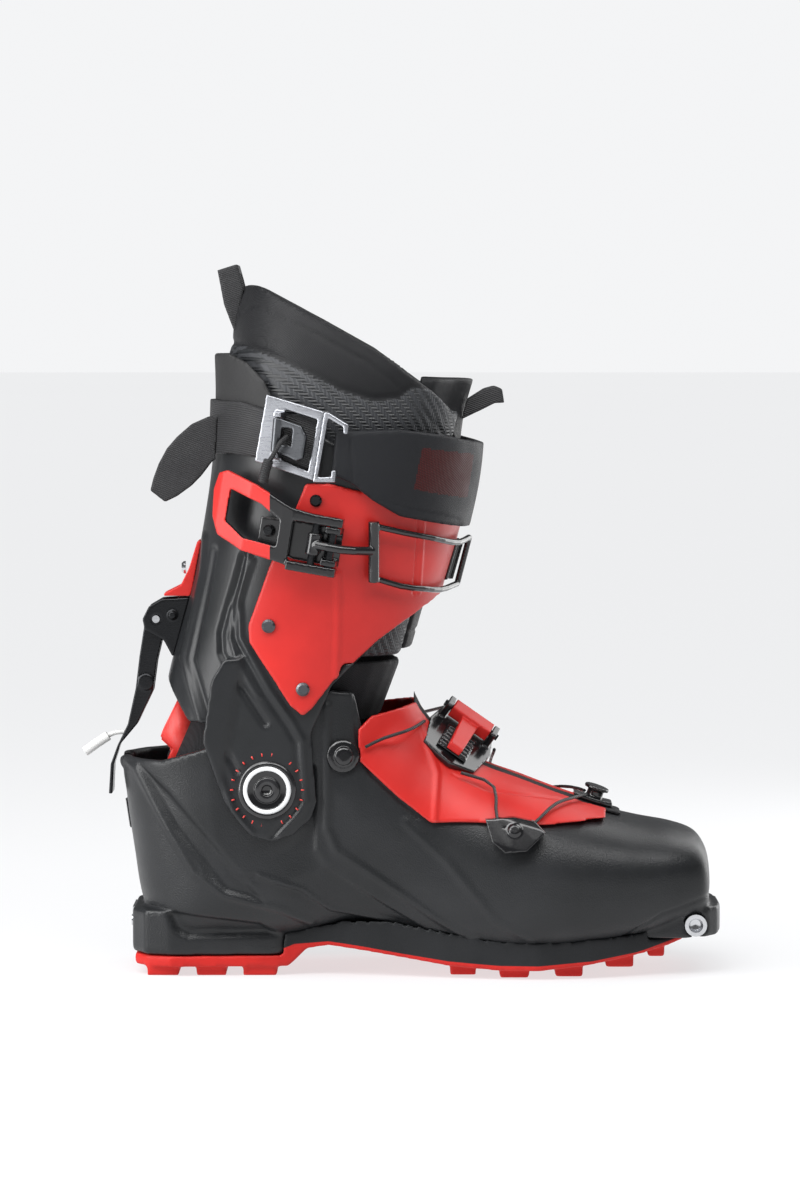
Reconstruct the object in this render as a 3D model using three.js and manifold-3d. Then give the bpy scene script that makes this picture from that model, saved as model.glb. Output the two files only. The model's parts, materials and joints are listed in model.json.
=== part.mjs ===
// An alpine touring boot for the right foot. Millimetres, +Z up, +X to the toe, +Y to the inner side.
// While the pieces are made, X = 0 is the back of the heel; the group then moves to its bottom centre.
import * as THREE from "three";
import { mergeVertices, mergeGeometries } from "three/addons/utils/BufferGeometryUtils.js";
import Module from "manifold-3d";

const wasm = await Module();
wasm.setup();

// ---- Driving sizes ----
const GAP = 0.3; // between pieces that touch
const SHELL_WALL = 4;
const CUFF_WALL = 3;
const FLAP_WALL = 2.2; // the red overlaps
const LINER_WALL = 6;
const LINER_PLAY = 0.5; // between the liner and the plastic
const ANKLE_HALF = 46; // half width of the shell's flat ankle
const CUFF_PLAY = 0.7; // side gap between ankle and cuff
const PIVOT = [64, 89.7];
const PIVOT_HOLE_R = 5;
const TREAD_TOP = 10; // underside of the heel block
const HEEL_BLOCK = { length: 76, half: 35, top: 31 };
const TOE_LEDGE = { front: 277, back: 236, half: 34.5, bottom: 18, top: 32 };
const TECH = [264, 24]; // centre of the toe binding sockets
const TECH_INNER = 28; // inner and outer ends of each socket's cup, from the middle
const TECH_OUTER = 33.5;
const TECH_R = 5.2;
const TECH_HOLE_R = 2.4;
const CABLE_R = 1.5;
const RIVET_R = 3.2;
const PIN_R = 1.8;
const LEVER_HALF = 7; // half width of the walk lever
const STRAP_THICK = 2.2;
const CORD_R = 1.1;
const LATERAL = -1;
const MEDIAL = 1;
const RING_SIDES = 24;

// ---- Colours ----
const paint = (colour, roughness, metalness = 0) =>
  new THREE.MeshStandardMaterial({ color: colour, roughness, metalness });
const BLACK = paint(0x1d1e20, 0.55);
const RED = paint(0xb3192a, 0.4);
const RED_RUBBER = paint(0x9c1a26, 0.8);
const DARK = paint(0x2a2b2e, 0.7);
const FABRIC = paint(0x35373b, 0.9);
const GREY_METAL = paint(0x707275, 0.4, 0.8);
const SILVER = paint(0xc4c6c8, 0.3, 1);
const BLACK_METAL = paint(0x151517, 0.3, 0.6);

// ---- Solids ----
function toSolid(geometry) {
  const bare = geometry.clone();
  bare.deleteAttribute("normal");
  bare.deleteAttribute("uv");
  const merged = mergeVertices(bare, 1e-4);
  return new wasm.Manifold(
    new wasm.Mesh({
      numProp: 3,
      vertProperties: new Float32Array(merged.attributes.position.array),
      triVerts: new Uint32Array(merged.index.array),
    }),
  );
}

function toGeometry(solid) {
  const mesh = solid.getMesh();
  const geometry = new THREE.BufferGeometry();
  geometry.setAttribute("position", new THREE.BufferAttribute(mesh.vertProperties, 3));
  geometry.setIndex(new THREE.BufferAttribute(mesh.triVerts, 1));
  const flat = geometry.toNonIndexed();
  flat.computeVertexNormals();
  return flat;
}

const cut = (first, ...rest) => rest.reduce((a, b) => a.subtract(b), first);
const join = (first, ...rest) => rest.reduce((a, b) => a.add(b), first);
const common = (first, ...rest) => rest.reduce((a, b) => a.intersect(b), first);

function box(x0, x1, y0, y1, z0, z1) {
  const shape = new THREE.BoxGeometry(x1 - x0, y1 - y0, z1 - z0);
  return toSolid(shape.translate((x0 + x1) / 2, (y0 + y1) / 2, (z0 + z1) / 2));
}

function shapeOf(points, round = false) {
  const flat = points.map(([a, b]) => new THREE.Vector2(a, b));
  const shape = new THREE.Shape();
  if (round) shape.setFromPoints(new THREE.SplineCurve([...flat, flat[0]]).getPoints(flat.length * 3));
  else shape.setFromPoints(flat);
  return shape;
}

// A side-view outline in X and Z, carried across from y0 to y1.
function across(points, y0, y1, round = false) {
  const made = new THREE.ExtrudeGeometry(shapeOf(points, round), { depth: y1 - y0, bevelEnabled: false });
  return toSolid(made.rotateX(Math.PI / 2).translate(0, y1, 0));
}

// A plan outline in X and Y, carried up from z0 to z1.
function upright(points, z0, z1, round = false) {
  const made = new THREE.ExtrudeGeometry(shapeOf(points, round), { depth: z1 - z0, bevelEnabled: false });
  return toSolid(made.translate(0, 0, z0));
}

// A turned piece: profile points are [radius, height]; it stands on +Z at the origin.
function turned(profile, sides = 20) {
  const points = profile.map(([r, h]) => new THREE.Vector2(r, h));
  return new THREE.LatheGeometry(points, sides).rotateX(Math.PI / 2);
}

const disc = (radius, height, sides = 20) => turned([[0, 0], [radius, 0], [radius, height], [0, height]], sides);

function alongY(geometry, x, z, y0, side) {
  const turnedTo = geometry.clone().rotateX(side > 0 ? -Math.PI / 2 : Math.PI / 2);
  return turnedTo.translate(x, side * y0, z);
}

function tube(points, radius, sides = 8, steps = 24) {
  const path = new THREE.CatmullRomCurve3(points);
  const section = new THREE.Shape();
  section.absarc(0, 0, radius, 0, Math.PI * 2);
  const settings = { steps, extrudePath: path, curveSegments: sides, bevelEnabled: false };
  return new THREE.ExtrudeGeometry(section, settings);
}

// ---- Lofts ----
// A station is { low: [x, z], high: [x, z], half, y }: a ring that stands across the boot.
function signedPower(value, power) {
  return Math.sign(value) * Math.abs(value) ** power;
}

function ringOf(station, grow) {
  const low = new THREE.Vector2(...station.low);
  const high = new THREE.Vector2(...station.high);
  const middle = low.clone().add(high).multiplyScalar(0.5);
  const along = high.clone().sub(low);
  const reach = along.length() / 2 + grow;
  along.normalize();
  const points = [];
  for (let i = 0; i < RING_SIDES; i += 1) {
    const angle = (i / RING_SIDES) * Math.PI * 2;
    const fullness = Math.cos(angle) < 0 ? station.lowFull : station.highFull;
    const up = signedPower(Math.cos(angle), 2 / fullness) * reach;
    const out = signedPower(Math.sin(angle), 2 / fullness) * (station.half + grow);
    points.push(new THREE.Vector3(middle.x + along.x * up, station.y + out, middle.y + along.y * up));
  }
  return points;
}

function loft(stations, grow) {
  const rings = stations.map((station) => ringOf(station, grow));
  const count = RING_SIDES;
  const positions = rings.flat().flatMap((p) => [p.x, p.y, p.z]);
  const faces = [];
  for (let r = 0; r + 1 < rings.length; r += 1) {
    for (let i = 0; i < count; i += 1) {
      const j = (i + 1) % count;
      const [a, b, c, d] = [r * count + i, r * count + j, (r + 1) * count + i, (r + 1) * count + j];
      faces.push(a, b, d, a, d, c);
    }
  }
  for (const [r, first] of [[0, true], [rings.length - 1, false]]) {
    const middle = rings[r].reduce((sum, p) => sum.add(p), new THREE.Vector3()).divideScalar(count);
    const hub = positions.length / 3;
    positions.push(middle.x, middle.y, middle.z);
    for (let i = 0; i < count; i += 1) {
      const [a, b] = [r * count + i, r * count + ((i + 1) % count)];
      faces.push(...(first ? [hub, b, a] : [hub, a, b]));
    }
  }
  const geometry = new THREE.BufferGeometry();
  geometry.setAttribute("position", new THREE.Float32BufferAttribute(positions, 3));
  geometry.setIndex(faces);
  const solid = toSolid(geometry);
  if (solid.volume() > 0) return solid;
  for (let i = 0; i < faces.length; i += 3) [faces[i], faces[i + 1]] = [faces[i + 1], faces[i]];
  geometry.setIndex(faces);
  return toSolid(geometry);
}

const station = (low, high, half, lowFull = 2.6, highFull = 2.3, y = 0) =>
  ({ low, high, half, lowFull, highFull, y });

// From the toe, round the ankle crease, to the top of the shell.
const FOOT = [
  station([271, 30], [271.5, 50], 22, 2.6, 2.6, 2),
  station([269, 26], [270, 58], 32, 2.8, 2.6, 2),
  station([264, 23.5], [265, 64.5], 38, 3, 2.6, 2),
  station([252, 20], [254, 68.5], 43.5, 3.2, 2.5, 2),
  station([232, 15], [238, 71.5], 48.5, 3.3, 2.4, 2),
  station([210, 11], [218, 76.5], 52, 3.3, 2.3, 1),
  station([188, 9.5], [200, 82.5], 53.5, 3.3, 2.2, 0),
  station([165, 9.8], [182, 89.5], 51.5, 3.2, 2.2, 0),
  station([142, 13], [166, 95.5], 47.5, 3.1, 2.2, 0),
  station([118, 17.5], [153, 103], 44.5, 2.9, 2.2, 0),
  station([95, 18.5], [145, 110], 44.5, 2.8, 2.2, 0),
  station([66, 13], [139, 117], 46, 2.7, 2.3, 0),
  station([36, 11], [134.5, 123], 47.5, 2.6, 2.3, 0),
  station([12, 12], [131.5, 129], 48, 2.6, 2.3, 0),
  station([3.5, 34], [130, 134], 48, 2.5, 2.3, 0),
  station([-0.5, 58], [129, 139], 48, 2.5, 2.3, 0),
  station([-4, 82], [128, 143], 48, 2.4, 2.3, 0),
  station([-5.5, 100], [128, 147], 48, 2.4, 2.3, 0),
  station([0, 122], [127, 151], 47, 2.4, 2.3, 0),
];
const TOE_SHIFT = [1, 1, 0.7, 0.4, 0.15]; // how far the toe's own rings follow an offset

function footLoft(grow) {
  const moved = FOOT.map((s, i) => {
    const shift = grow * (TOE_SHIFT[i] ?? 0);
    return { ...s, low: [s.low[0] + shift, s.low[1]], high: [s.high[0] + shift, s.high[1]] };
  });
  return loft(moved, grow);
}

// Up the leg, outside of the cuff.
const LEG = [
  station([8, 58], [122, 60], 50.4, 2.4, 2.4),
  station([8, 92], [126, 92], 50.4, 2.4, 2.4),
  station([13, 120], [131, 122], 50.4, 2.4, 2.3),
  station([16.5, 142], [134.5, 146], 50.8, 2.3, 2.2),
  station([27, 181], [143, 180], 53, 2.2, 2.2),
  station([31.5, 204], [150.5, 206], 55, 2.2, 2.2),
  station([36.5, 236], [156.5, 234], 57, 2.2, 2.2),
  station([38.5, 268], [159, 264], 57.5, 2.2, 2.2),
  station([38, 296], [160, 290], 57, 2.2, 2.2),
];
// Up the leg, outside of the liner.
const LINER_LEG = [
  station([24, 152], [129.5, 150], 46, 2.3, 2.3),
  station([31.5, 181], [137.5, 178], 48.5, 2.2, 2.2),
  station([35.5, 204], [144.5, 204], 50.3, 2.2, 2.2),
  station([40.5, 236], [151, 232], 52.3, 2.2, 2.2),
  station([42.5, 268], [155, 262], 52.8, 2.2, 2.2),
  station([46, 292], [160, 281], 52, 2.2, 2.2),
  station([52, 324], [166, 305], 50, 2.2, 2.2),
];

// ---- The group ----
const boot = new THREE.Group();
const pieces = {};

function put(name, shape, material) {
  const geometry = shape.isBufferGeometry ? shape : toGeometry(shape);
  const mesh = new THREE.Mesh(geometry, material);
  mesh.name = name;
  boot.add(mesh);
  pieces[name] = shape.isBufferGeometry ? toSolid(shape) : shape;
  return mesh;
}

// Where a line across the boot at x, z meets a solid from one side, and the surface direction there.
function rayMesh(solid) {
  return new THREE.Mesh(toGeometry(solid), new THREE.MeshStandardMaterial({ side: THREE.DoubleSide }));
}

function meet(target, from, toward) {
  const hit = new THREE.Raycaster(from, toward.clone().normalize()).intersectObject(target)[0];
  return { point: hit.point, normal: hit.face.normal.clone().normalize() };
}

const sideHit = (target, x, z, side) =>
  meet(target, new THREE.Vector3(x, side * 200, z), new THREE.Vector3(0, -side, 0));
const topHit = (target, x, y) => meet(target, new THREE.Vector3(x, y, 300), new THREE.Vector3(0, 0, -1));

// A point that stands off a surface.
function off(hit, lift) {
  return hit.point.clone().addScaledVector(hit.normal, lift);
}

// A piece made on +Z, stood on a surface.
function standOn(geometry, hit, lift = GAP) {
  const turn = new THREE.Quaternion().setFromUnitVectors(new THREE.Vector3(0, 0, 1), hit.normal);
  const place = new THREE.Matrix4().compose(off(hit, lift), turn, new THREE.Vector3(1, 1, 1));
  return geometry.clone().applyMatrix4(place);
}

// ---- Lower shell ----
const footOuter = footLoft( 0);
const ankleSlab = box(-40, 300, -ANKLE_HALF, ANKLE_HALF, -10, 400);
const forefootKeep = box(140, 300, -80, 80, -10, 400);
// Everything behind the forefoot is held to the flat ankle width.
const shellOuter = join(common(footOuter, ankleSlab), common(footOuter, forefootKeep));

function heelBlock(grow) {
  const { length, half, top } = HEEL_BLOCK;
  const plan = [[-0.5, -20], [-0.5, 20], [6, 31], [18, half], [length - 8, 32], [length, 26], [length, -26],
    [length - 8, -32], [18, -half], [6, -31]];
  const bigger = plan.map(([x, y]) => [x + Math.sign(x - length / 2) * grow, y + Math.sign(y) * grow]);
  return upright(bigger, TREAD_TOP - grow, top + grow);
}

function toeLedge(grow) {
  const { front, back, half, bottom, top } = TOE_LEDGE;
  const side = half + grow;
  const tip = front + grow;
  const plan = [[back, -side], [tip - 17, -side], [tip - 8, -side + 4], [tip - 2, -side + 12], [tip, -10],
    [tip, 10], [tip - 2, side - 12], [tip - 8, side - 4], [tip - 17, side], [back, side]];
  return upright(plan, bottom - grow, top + grow);
}

function lowerShell() {
  const bracket = across([[2, 60], [-6.8, 98], [-6.8, 102], [14, 102], [20, 60]], -14, 14);
  const leverSlot = box(-20, 0.5, -LEVER_HALF - 2 * GAP, LEVER_HALF + 2 * GAP, 82, 110);
  const body = cut(join(shellOuter, heelBlock(0), toeLedge(0), bracket), leverSlot);
  const hollow = footLoft( -SHELL_WALL);
  const slabHalf = ANKLE_HALF - SHELL_WALL;
  const slabInside = box(-40, 170, -slabHalf, slabHalf, -10, 400);
  const inside = join(common(hollow, slabInside), common(hollow, forefootKeep));
  const overRim = across([[-30, 102.2], [15, 102.2], [34, 108], [58, 122], [90, 136], [104, 134], [108, 116],
    [118, 110], [136, 110], [148, 116], [170, 190], [100, 260], [-30, 260]], -70, 70);
  // The throat, open down the instep.
  const throat = across([[112, 128], [130, 100], [170, 84], [188, 76], [196, 100], [190, 140]], -17, 17);
  const holes = [LATERAL, MEDIAL].map((side) =>
    toSolid(alongY(disc(PIVOT_HOLE_R, 20, 16), PIVOT[0], PIVOT[1], ANKLE_HALF - 12, side)));
  return cut(body, inside, overRim, throat, toeSocketRoom(), ...holes);
}

// Room in the toe ledge for the steel cups.
function toeSocketRoom() {
  const cups = [LATERAL, MEDIAL].map((side) =>
    toSolid(alongY(disc(TECH_R + GAP, 20, 20), TECH[0], TECH[1], TECH_INNER - GAP, side)));
  return join(...cups);
}

const lowerShellSolid = lowerShell();
const shellRay = rayMesh(shellOuter);

// ---- Sole ----
// Underside of the sole from the arch forward.
const SOLE_LINE = [[76, 7], [82, 13], [92, 14.5], [110, 12], [126, 9.5], [148, 6], [172, 4.2], [190, 4.2],
  [209, 6], [230, 9.5], [251, 14], [266, 19]];
const TREAD_UNDER = 4.5; // underside of the flat rubber below the heel

function soleHeight(x) {
  const next = SOLE_LINE.findIndex(([at]) => at >= x);
  if (next < 1) return TREAD_UNDER;
  const [[x0, z0], [x1, z1]] = [SOLE_LINE[next - 1], SOLE_LINE[next]];
  return z0 + ((x - x0) / (x1 - x0)) * (z1 - z0);
}

function lugPair(x0, x1, base, inner, outer) {
  const top = Math.max(soleHeight(x0), soleHeight(x1)) + 1.5;
  return [box(x0, x1, -outer, -inner, base, top), box(x0, x1, inner, outer, base, top)];
}

function outsole() {
  const band = across([[0.8, TREAD_TOP - GAP], [0.8, TREAD_UNDER], [73, TREAD_UNDER], ...SOLE_LINE,
    [268, 40], [74, 40], [70, TREAD_TOP - GAP]], -60, 60);
  const plan = [[0.8, -22], [0.8, 22], [7, 30], [18, 34.5], [75, 31], [100, 32], [130, 36], [160, 41],
    [190, 44.5], [215, 44], [240, 38], [258, 29], [268, 14], [268, -12], [258, -25], [240, -36], [215, -43],
    [190, -45.5], [160, -42.5], [130, -37], [100, -32.5], [75, -31], [18, -34.5], [7, -30]];
  const blank = common(band, upright(plan, -1, 40));
  const clear = join(footLoft( GAP), heelBlock(GAP), toeLedge(GAP));
  const heelLugs = [[7, 22], [30, 44], [52, 68]].flatMap(([x0, x1]) => lugPair(x0, x1, 0, 5, 30));
  const foreLugs = [[149, 161, 0.8, 34], [172, 186, 0, 37], [198, 211, 0.4, 37], [222, 235, 4, 31],
    [242, 250, 8, 24]].flatMap(([x0, x1, base, outer]) => lugPair(x0, x1, base, 5, outer));
  return cut(join(blank, ...heelLugs, ...foreLugs), clear);
}

function toeFitting(side) {
  const depth = TECH_OUTER - TECH_INNER;
  const cup = turned([[0, 0], [TECH_R, 0], [TECH_R, depth], [TECH_HOLE_R + 1, depth], [TECH_HOLE_R, depth - 3.5],
    [0, depth - 4]], 20);
  return alongY(cup, TECH[0], TECH[1], TECH_INNER, side);
}

// ---- Inside the shell ----
const slabAt = (half) => join(box(-40, 175, -half, half, -10, 400), box(150, 300, -80, 80, -10, 400));
const BOARD_TOP = [[8, 18.5], [40, 18], [66, 20.5], [92, 26.5], [118, 25.5], [142, 21], [165, 18], [188, 17.5],
  [210, 19.5], [228, 23]];

function bootBoard() {
  const bed = common(footLoft( -SHELL_WALL - GAP), slabAt(ANKLE_HALF - SHELL_WALL - GAP));
  return common(bed, across([...BOARD_TOP, [228, 0], [8, 0]], -60, 60));
}

const LINER_OFF = SHELL_WALL + LINER_PLAY;
const footRim = [[-30, 93], [20, 95], [60, 104], [96, 112], [112, 117], [122, 109], [138, 104], [148, 104],
  [200, 130], [200, 260], [-30, 260]];

function linerFoot() {
  const outer = common(footLoft( -LINER_OFF), slabAt(ANKLE_HALF - LINER_OFF));
  const inner = common(footLoft( -LINER_OFF - LINER_WALL), slabAt(ANKLE_HALF - LINER_OFF - LINER_WALL));
  const boardRoom = across([...BOARD_TOP.map(([x, z]) => [x, z + GAP]), [228 + GAP, 23], [228 + GAP, -5],
    [8 - GAP, -5], [8 - GAP, 18]], -60, 60);
  return cut(outer, inner, across(footRim, -70, 70), boardRoom);
}

// The bellows of the liner between foot and leg.
const FLEX = [
  station([14, 99], [116, 120.5], 36, 2.4, 2.3),
  station([26, 125], [121, 134], 38, 2.4, 2.3),
  station([31.5, 149.5], [126, 147.5], 42, 2.3, 2.3),
];
const linerFlex = () => cut(loft(FLEX, 0), loft(longer(FLEX, 3), -4));

// The same stations carried on past both ends, to cut right through.
function longer(stations, by) {
  const moved = (s, dz) => ({ ...s, low: [s.low[0], s.low[1] + dz], high: [s.high[0], s.high[1] + dz] });
  return [moved(stations[0], -by), ...stations, moved(stations.at(-1), by)];
}

// ---- Red overlaps, gaiter and lacing on the instep ----
const GAITER_HALF = 12;
const FLAP_OUT = GAP + FLAP_WALL;
const flapShell = cut(footLoft( FLAP_OUT), footLoft( GAP));
const INSTEP_FLAP = [[106, 103], [106, 117], [112, 123], [122, 125], [136, 128], [175, 110], [226, 90], [222, 74],
  [193, 72.5], [153, 74], [140, 73.5], [124, 86]];

function instepFlap(side) {
  const ends = [side * (GAITER_HALF + GAP), side * 80].sort((a, b) => a - b);
  const anchorRoom = toSolid(alongY(disc(8.4, 60, 24), ...ANCHOR, 20, side));
  return cut(common(flapShell, across(INSTEP_FLAP, ...ends)), anchorRoom);
}

function gaiter() {
  const outline = [[132, 90], [132, 140], [180, 110], [232, 90], [228, 60], [150, 60]];
  const middle = box(-10, 300, -GAITER_HALF, GAITER_HALF, 40, 200);
  return common(cut(footLoft( GAP + 1.4), footLoft( GAP)), across(outline, -40, 40), middle);
}

const ANCHOR = [98.7, 104.8];
const GUIDE = [178.5, 71.2];

const rivetShape = (radius, height) =>
  turned([[0, 0], [radius, 0], [radius, height * 0.5], [radius * 0.7, height], [0, height]], 16);

function cableAnchor(side) {
  const washer = turned([[0, 0], [7.8, 0], [7.8, 1.6], [6.4, 2.4], [4.4, 2.4], [4.2, 3.4], [3, 4], [0, 4]], 18);
  return standOn(washer, sideHit(shellRay, ...ANCHOR, side), 2 * GAP);
}

const flapRay = rayMesh(footLoft( FLAP_OUT));
const CABLE_LIFT = CABLE_R + GAP;
const onSide = (x, z, side, extra = 0) => off(sideHit(flapRay, x, z, side), CABLE_LIFT + extra);
const onTop = (x, y, extra = 0) => off(topHit(flapRay, x, y), CABLE_LIFT + extra);

// The saddle's own directions: out of the instep, down along the crest, and across it.
const SADDLE_AT = new THREE.Vector3(152, -15, 108);
const SADDLE_OUT = new THREE.Vector3(0.5, -0.48, 0.72).normalize();
const SADDLE_DOWN = new THREE.Vector3(0.81, 0, -0.58).projectOnPlane(SADDLE_OUT).normalize();
const SADDLE_UP = new THREE.Vector3().crossVectors(SADDLE_OUT, SADDLE_DOWN);
const saddleFrame = new THREE.Matrix4().makeBasis(SADDLE_DOWN, SADDLE_UP, SADDLE_OUT).setPosition(SADDLE_AT);

function onSaddle(points, low, high) {
  const made = new THREE.ExtrudeGeometry(shapeOf(points), { depth: high - low, bevelEnabled: false });
  return toSolid(made.translate(0, 0, low).applyMatrix4(saddleFrame));
}

const SADDLE_LEVER_AT = [0, 13, 7]; // the lever's hinge, along the saddle's own directions
const SADDLE_PIN_R = 1.5;

function saddlePin(radius, half) {
  const pin = new THREE.CylinderGeometry(radius, radius, 2 * half, 12).rotateZ(Math.PI / 2);
  return toSolid(pin.translate(...SADDLE_LEVER_AT).applyMatrix4(saddleFrame));
}

const instepSaddle = () => {
  const plate = onSaddle([[-14, -16], [2, -19], [14, -14], [17, 6], [14, 20], [-14, 20], [-17, 4]], -9, 1.5);
  const ears = [-1, 1].map((s) => onSaddle([[s * 11, 9], [s * 14, 9], [s * 14, 17], [s * 11, 17]], 1, 10));
  return cut(join(plate, ...ears), footLoft( FLAP_OUT + GAP), saddlePin(SADDLE_PIN_R + 0.1, 20));
};

function saddleLever() {
  const block = onSaddle([[-10.6, 9], [10.6, 9], [10.6, 17], [-10.6, 17]], 4, 10);
  const handle = onSaddle([[-3.5, -15], [3.5, -15], [4.5, 12], [-4.5, 12]], 4.5, 8.5);
  return cut(join(block, handle), saddlePin(SADDLE_PIN_R + 0.1, 20));
}

function saddleRack() {
  const strip = onSaddle([[-8, -13], [8, -13], [8, 7], [-8, 7]], 1.8, 2.8);
  const teeth = Array.from({ length: 6 }, (_, i) => -12 + i * 3).map((y) =>
    onSaddle([[-7, y], [7, y], [7, y + 1.4], [-7, y + 1.4]], 2.5, 3.9));
  return join(strip, ...teeth);
}

// Half of the upper lace, from the ankle anchor to the saddle.
function instepCable(side) {
  const end = side < 0 ? [-18.5, -6, 4] : [-12, 22.5, 0];
  const last = new THREE.Vector3(...end).applyMatrix4(saddleFrame);
  const route = [onSide(108, 108.5, side, 0.6), onSide(116, 111.5, side, 1.6), onSide(126, 112.5, side, 6)];
  return tube([...route, last], CABLE_R, 7, 8);
}

const foreRoute = (side) => [
  new THREE.Vector3(...(side < 0 ? [8, -20.8, 1.2] : [17.5, 16, -1])).applyMatrix4(saddleFrame),
  onSide(168, 87, side, 2.4), onSide(171, 74, side, 1), onSide(178.5, 68, side, 0.8),
  onSide(187, 72, side, 0.8), onSide(197, 79, side, 0.9), onTop(207, side * 20, 0.9), onTop(213, side * 8, 0.9),
];
const foreCable = (side) => tube(foreRoute(side), CABLE_R, 7, 18);

function cableGuide(side) {
  const outline = [[165, 76], [168, 66], [174, 61], [184, 62], [193, 70], [188, 75], [178, 77]];
  const ends = [side * 20, side * 80].sort((a, b) => a - b);
  const blank = common(cut(footLoft( FLAP_OUT + 5), footLoft( FLAP_OUT + GAP)), across(outline, ...ends));
  const spot = sideHit(rayMesh(footLoft( FLAP_OUT + 5)), ...GUIDE, side);
  const rivet = toSolid(standOn(rivetShape(RIVET_R, 2), spot, -0.6));
  return join(cut(blank, toSolid(tube(foreRoute(side), CABLE_R + GAP, 7, 18))), rivet);
}

function frontHook() {
  const hit = topHit(rayMesh(footLoft( FLAP_OUT)), 217, 0);
  const base = across([[208, 60], [208, 110], [226, 110], [226, 60]], -7, 7);
  const plate = common(cut(footLoft( FLAP_OUT + 2), footLoft( GAP + 1.4 + GAP)), base);
  const post = toSolid(standOn(disc(4, 7, 14), hit, -1));
  const cap = toSolid(standOn(disc(6, 1.6, 16), hit, 5.5));
  return cut(join(plate, post, cap), footLoft( GAP + 1.4 + GAP), ...[LATERAL, MEDIAL].map((side) =>
    toSolid(tube(foreRoute(side), CABLE_R + GAP, 7, 18))));
}

// ---- Cuff ----
function legShell(inner, outer, stations = LEG) {
  return cut(loft(stations, outer), loft(longer(stations, 4), inner));
}

const LOBE_IN = ANKLE_HALF + CUFF_PLAY;
const LOBE_OUT = LOBE_IN + CUFF_WALL;
const LOBE = [[38, 140], [34, 112], [44, 84], [51, 74], [58, 67.5], [66, 65.3], [76, 68.5], [84.5, 76.5],
  [87, 84], [85.4, 101], [84.5, 116], [94, 138], [104, 148], [60, 152], [44, 150]];
const CUFF_SIDE = [[14, 143], [33, 110], [60, 112], [84.5, 118], [94, 138], [115, 158], [134, 172], [138, 178],
  [139.5, 196], [139, 226], [126, 236], [96, 250], [72, 264], [0, 264], [0, 160]];

const bothSides = (outline, from, to) => join(across(outline, from, to), across(outline, -to, -from));
const CUFF_TOP = 264;

function cuff() {
  const leg = common(legShell(-CUFF_WALL, 0), across(CUFF_SIDE, -80, 80));
  const ankleRoom = box(-40, 116, -LOBE_IN, LOBE_IN, 50, 141);
  const rearWall = common(legShell(-CUFF_WALL, 0), box(-10, 40, -60, 60, 120, 160), across(CUFF_SIDE, -80, 80));
  const lobes = bothSides(LOBE, LOBE_IN, LOBE_OUT);
  const holes = [LATERAL, MEDIAL].map((side) =>
    toSolid(alongY(disc(PIVOT_HOLE_R + 1, 30, 20), ...PIVOT, 30, side)));
  return cut(join(cut(leg, ankleRoom), rearWall, lobes), ...holes);
}

const LEG_FLAP = [[79.5, 225], [82, 232], [93, 232], [107, 228.5], [126, 232], [175, 232], [175, 183],
  [144, 179], [134, 172], [115.4, 159], [93.7, 139], [85, 127.5], [80.4, 124], [74.8, 129], [56, 158],
  [55.3, 165.5], [65.6, 194]];
const FLAP_MEET = 8; // the two overlaps meet on the inner side of the front

function legFlap(side) {
  const [from, to] = side < 0 ? [-80, FLAP_MEET] : [FLAP_MEET + GAP, 80];
  const sheet = common(legShell(GAP, FLAP_OUT), across(LEG_FLAP, from, to));
  return cut(sheet, bothSides(LOBE, LOBE_IN, LOBE_OUT + GAP));
}

function spoiler() {
  const outline = [[0, CUFF_TOP + GAP], [0, 291], [46, 291.5], [54.6, 287.5], [63, 279], [70, CUFF_TOP + GAP]];
  return common(legShell(-CUFF_WALL, 0), across(outline, -80, 80));
}

// The parts on the back of the cuff: a red housing, and the bracket that the walk lever hangs on.
const LEVER_PIN = [10.4, 166.1];
const LEVER_SPACER = [5.4, 136];

function spineHousing() {
  const outline = [[44, 203], [30, 203], [26, 190], [22, 182], [14, 178], [14, 177], [44, 177]];
  return cut(across(outline, -9, 9), loft(LEG, GAP));
}

function walkBracket() {
  const cheek = [[5, 161], [4, 166], [7, 172], [13, 175.5], [30, 176.5], [30, 150], [18, 148.5], [14, 156]];
  const cheeks = bothSides(cheek, LEVER_HALF + GAP, LEVER_HALF + GAP + 2);
  const web = across([[18, 150], [30, 150], [34, 176.5], [21, 176.5]], -LEVER_HALF - 1, LEVER_HALF + 1);
  const pinHole = toSolid(alongY(disc(PIN_R + 0.1, 40, 16), ...LEVER_PIN, -20, MEDIAL));
  const screw = toSolid(alongY(rivetShape(2.2, 1.8), 18.2, 168, LEVER_HALF + GAP + 1.6, LATERAL));
  return cut(join(cheeks, web, screw), loft(LEG, GAP), pinHole);
}

const LEVER_SIDE = [[10.4, 171], [6.4, 169.4], [4.9, 164], [2.4, 148.5], [0.5, 133], [-3.3, 116], [-8.2, 106],
  [-11.5, 97], [-12.4, 83], [-10.6, 83], [-9.9, 97], [-6.9, 106.5], [1.5, 116.5], [8.8, 132], [10.7, 146],
  [14, 160], [15, 166], [13.6, 169.6]];

function walkLever() {
  const blank = across(LEVER_SIDE, -LEVER_HALF, LEVER_HALF);
  const pinHole = toSolid(alongY(disc(PIN_R + 0.1, 40, 16), ...LEVER_PIN, -20, MEDIAL));
  const window = across([[-10, 125], [20, 125], [20, 158], [-10, 158]], -3.6, 3.6);
  const cordHole = box(-20, 20, -CORD_R - 0.6, CORD_R + 0.6, 110, 113.5);
  const spacer = toSolid(pin(LEVER_SPACER, 2 * PIN_R, LEVER_HALF + 0.6));
  return join(cut(blank, pinHole, window, cordHole), spacer);
}

const pin = (at, radius, half) => alongY(disc(radius, 2 * half, 16), ...at, -half, MEDIAL);

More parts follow.
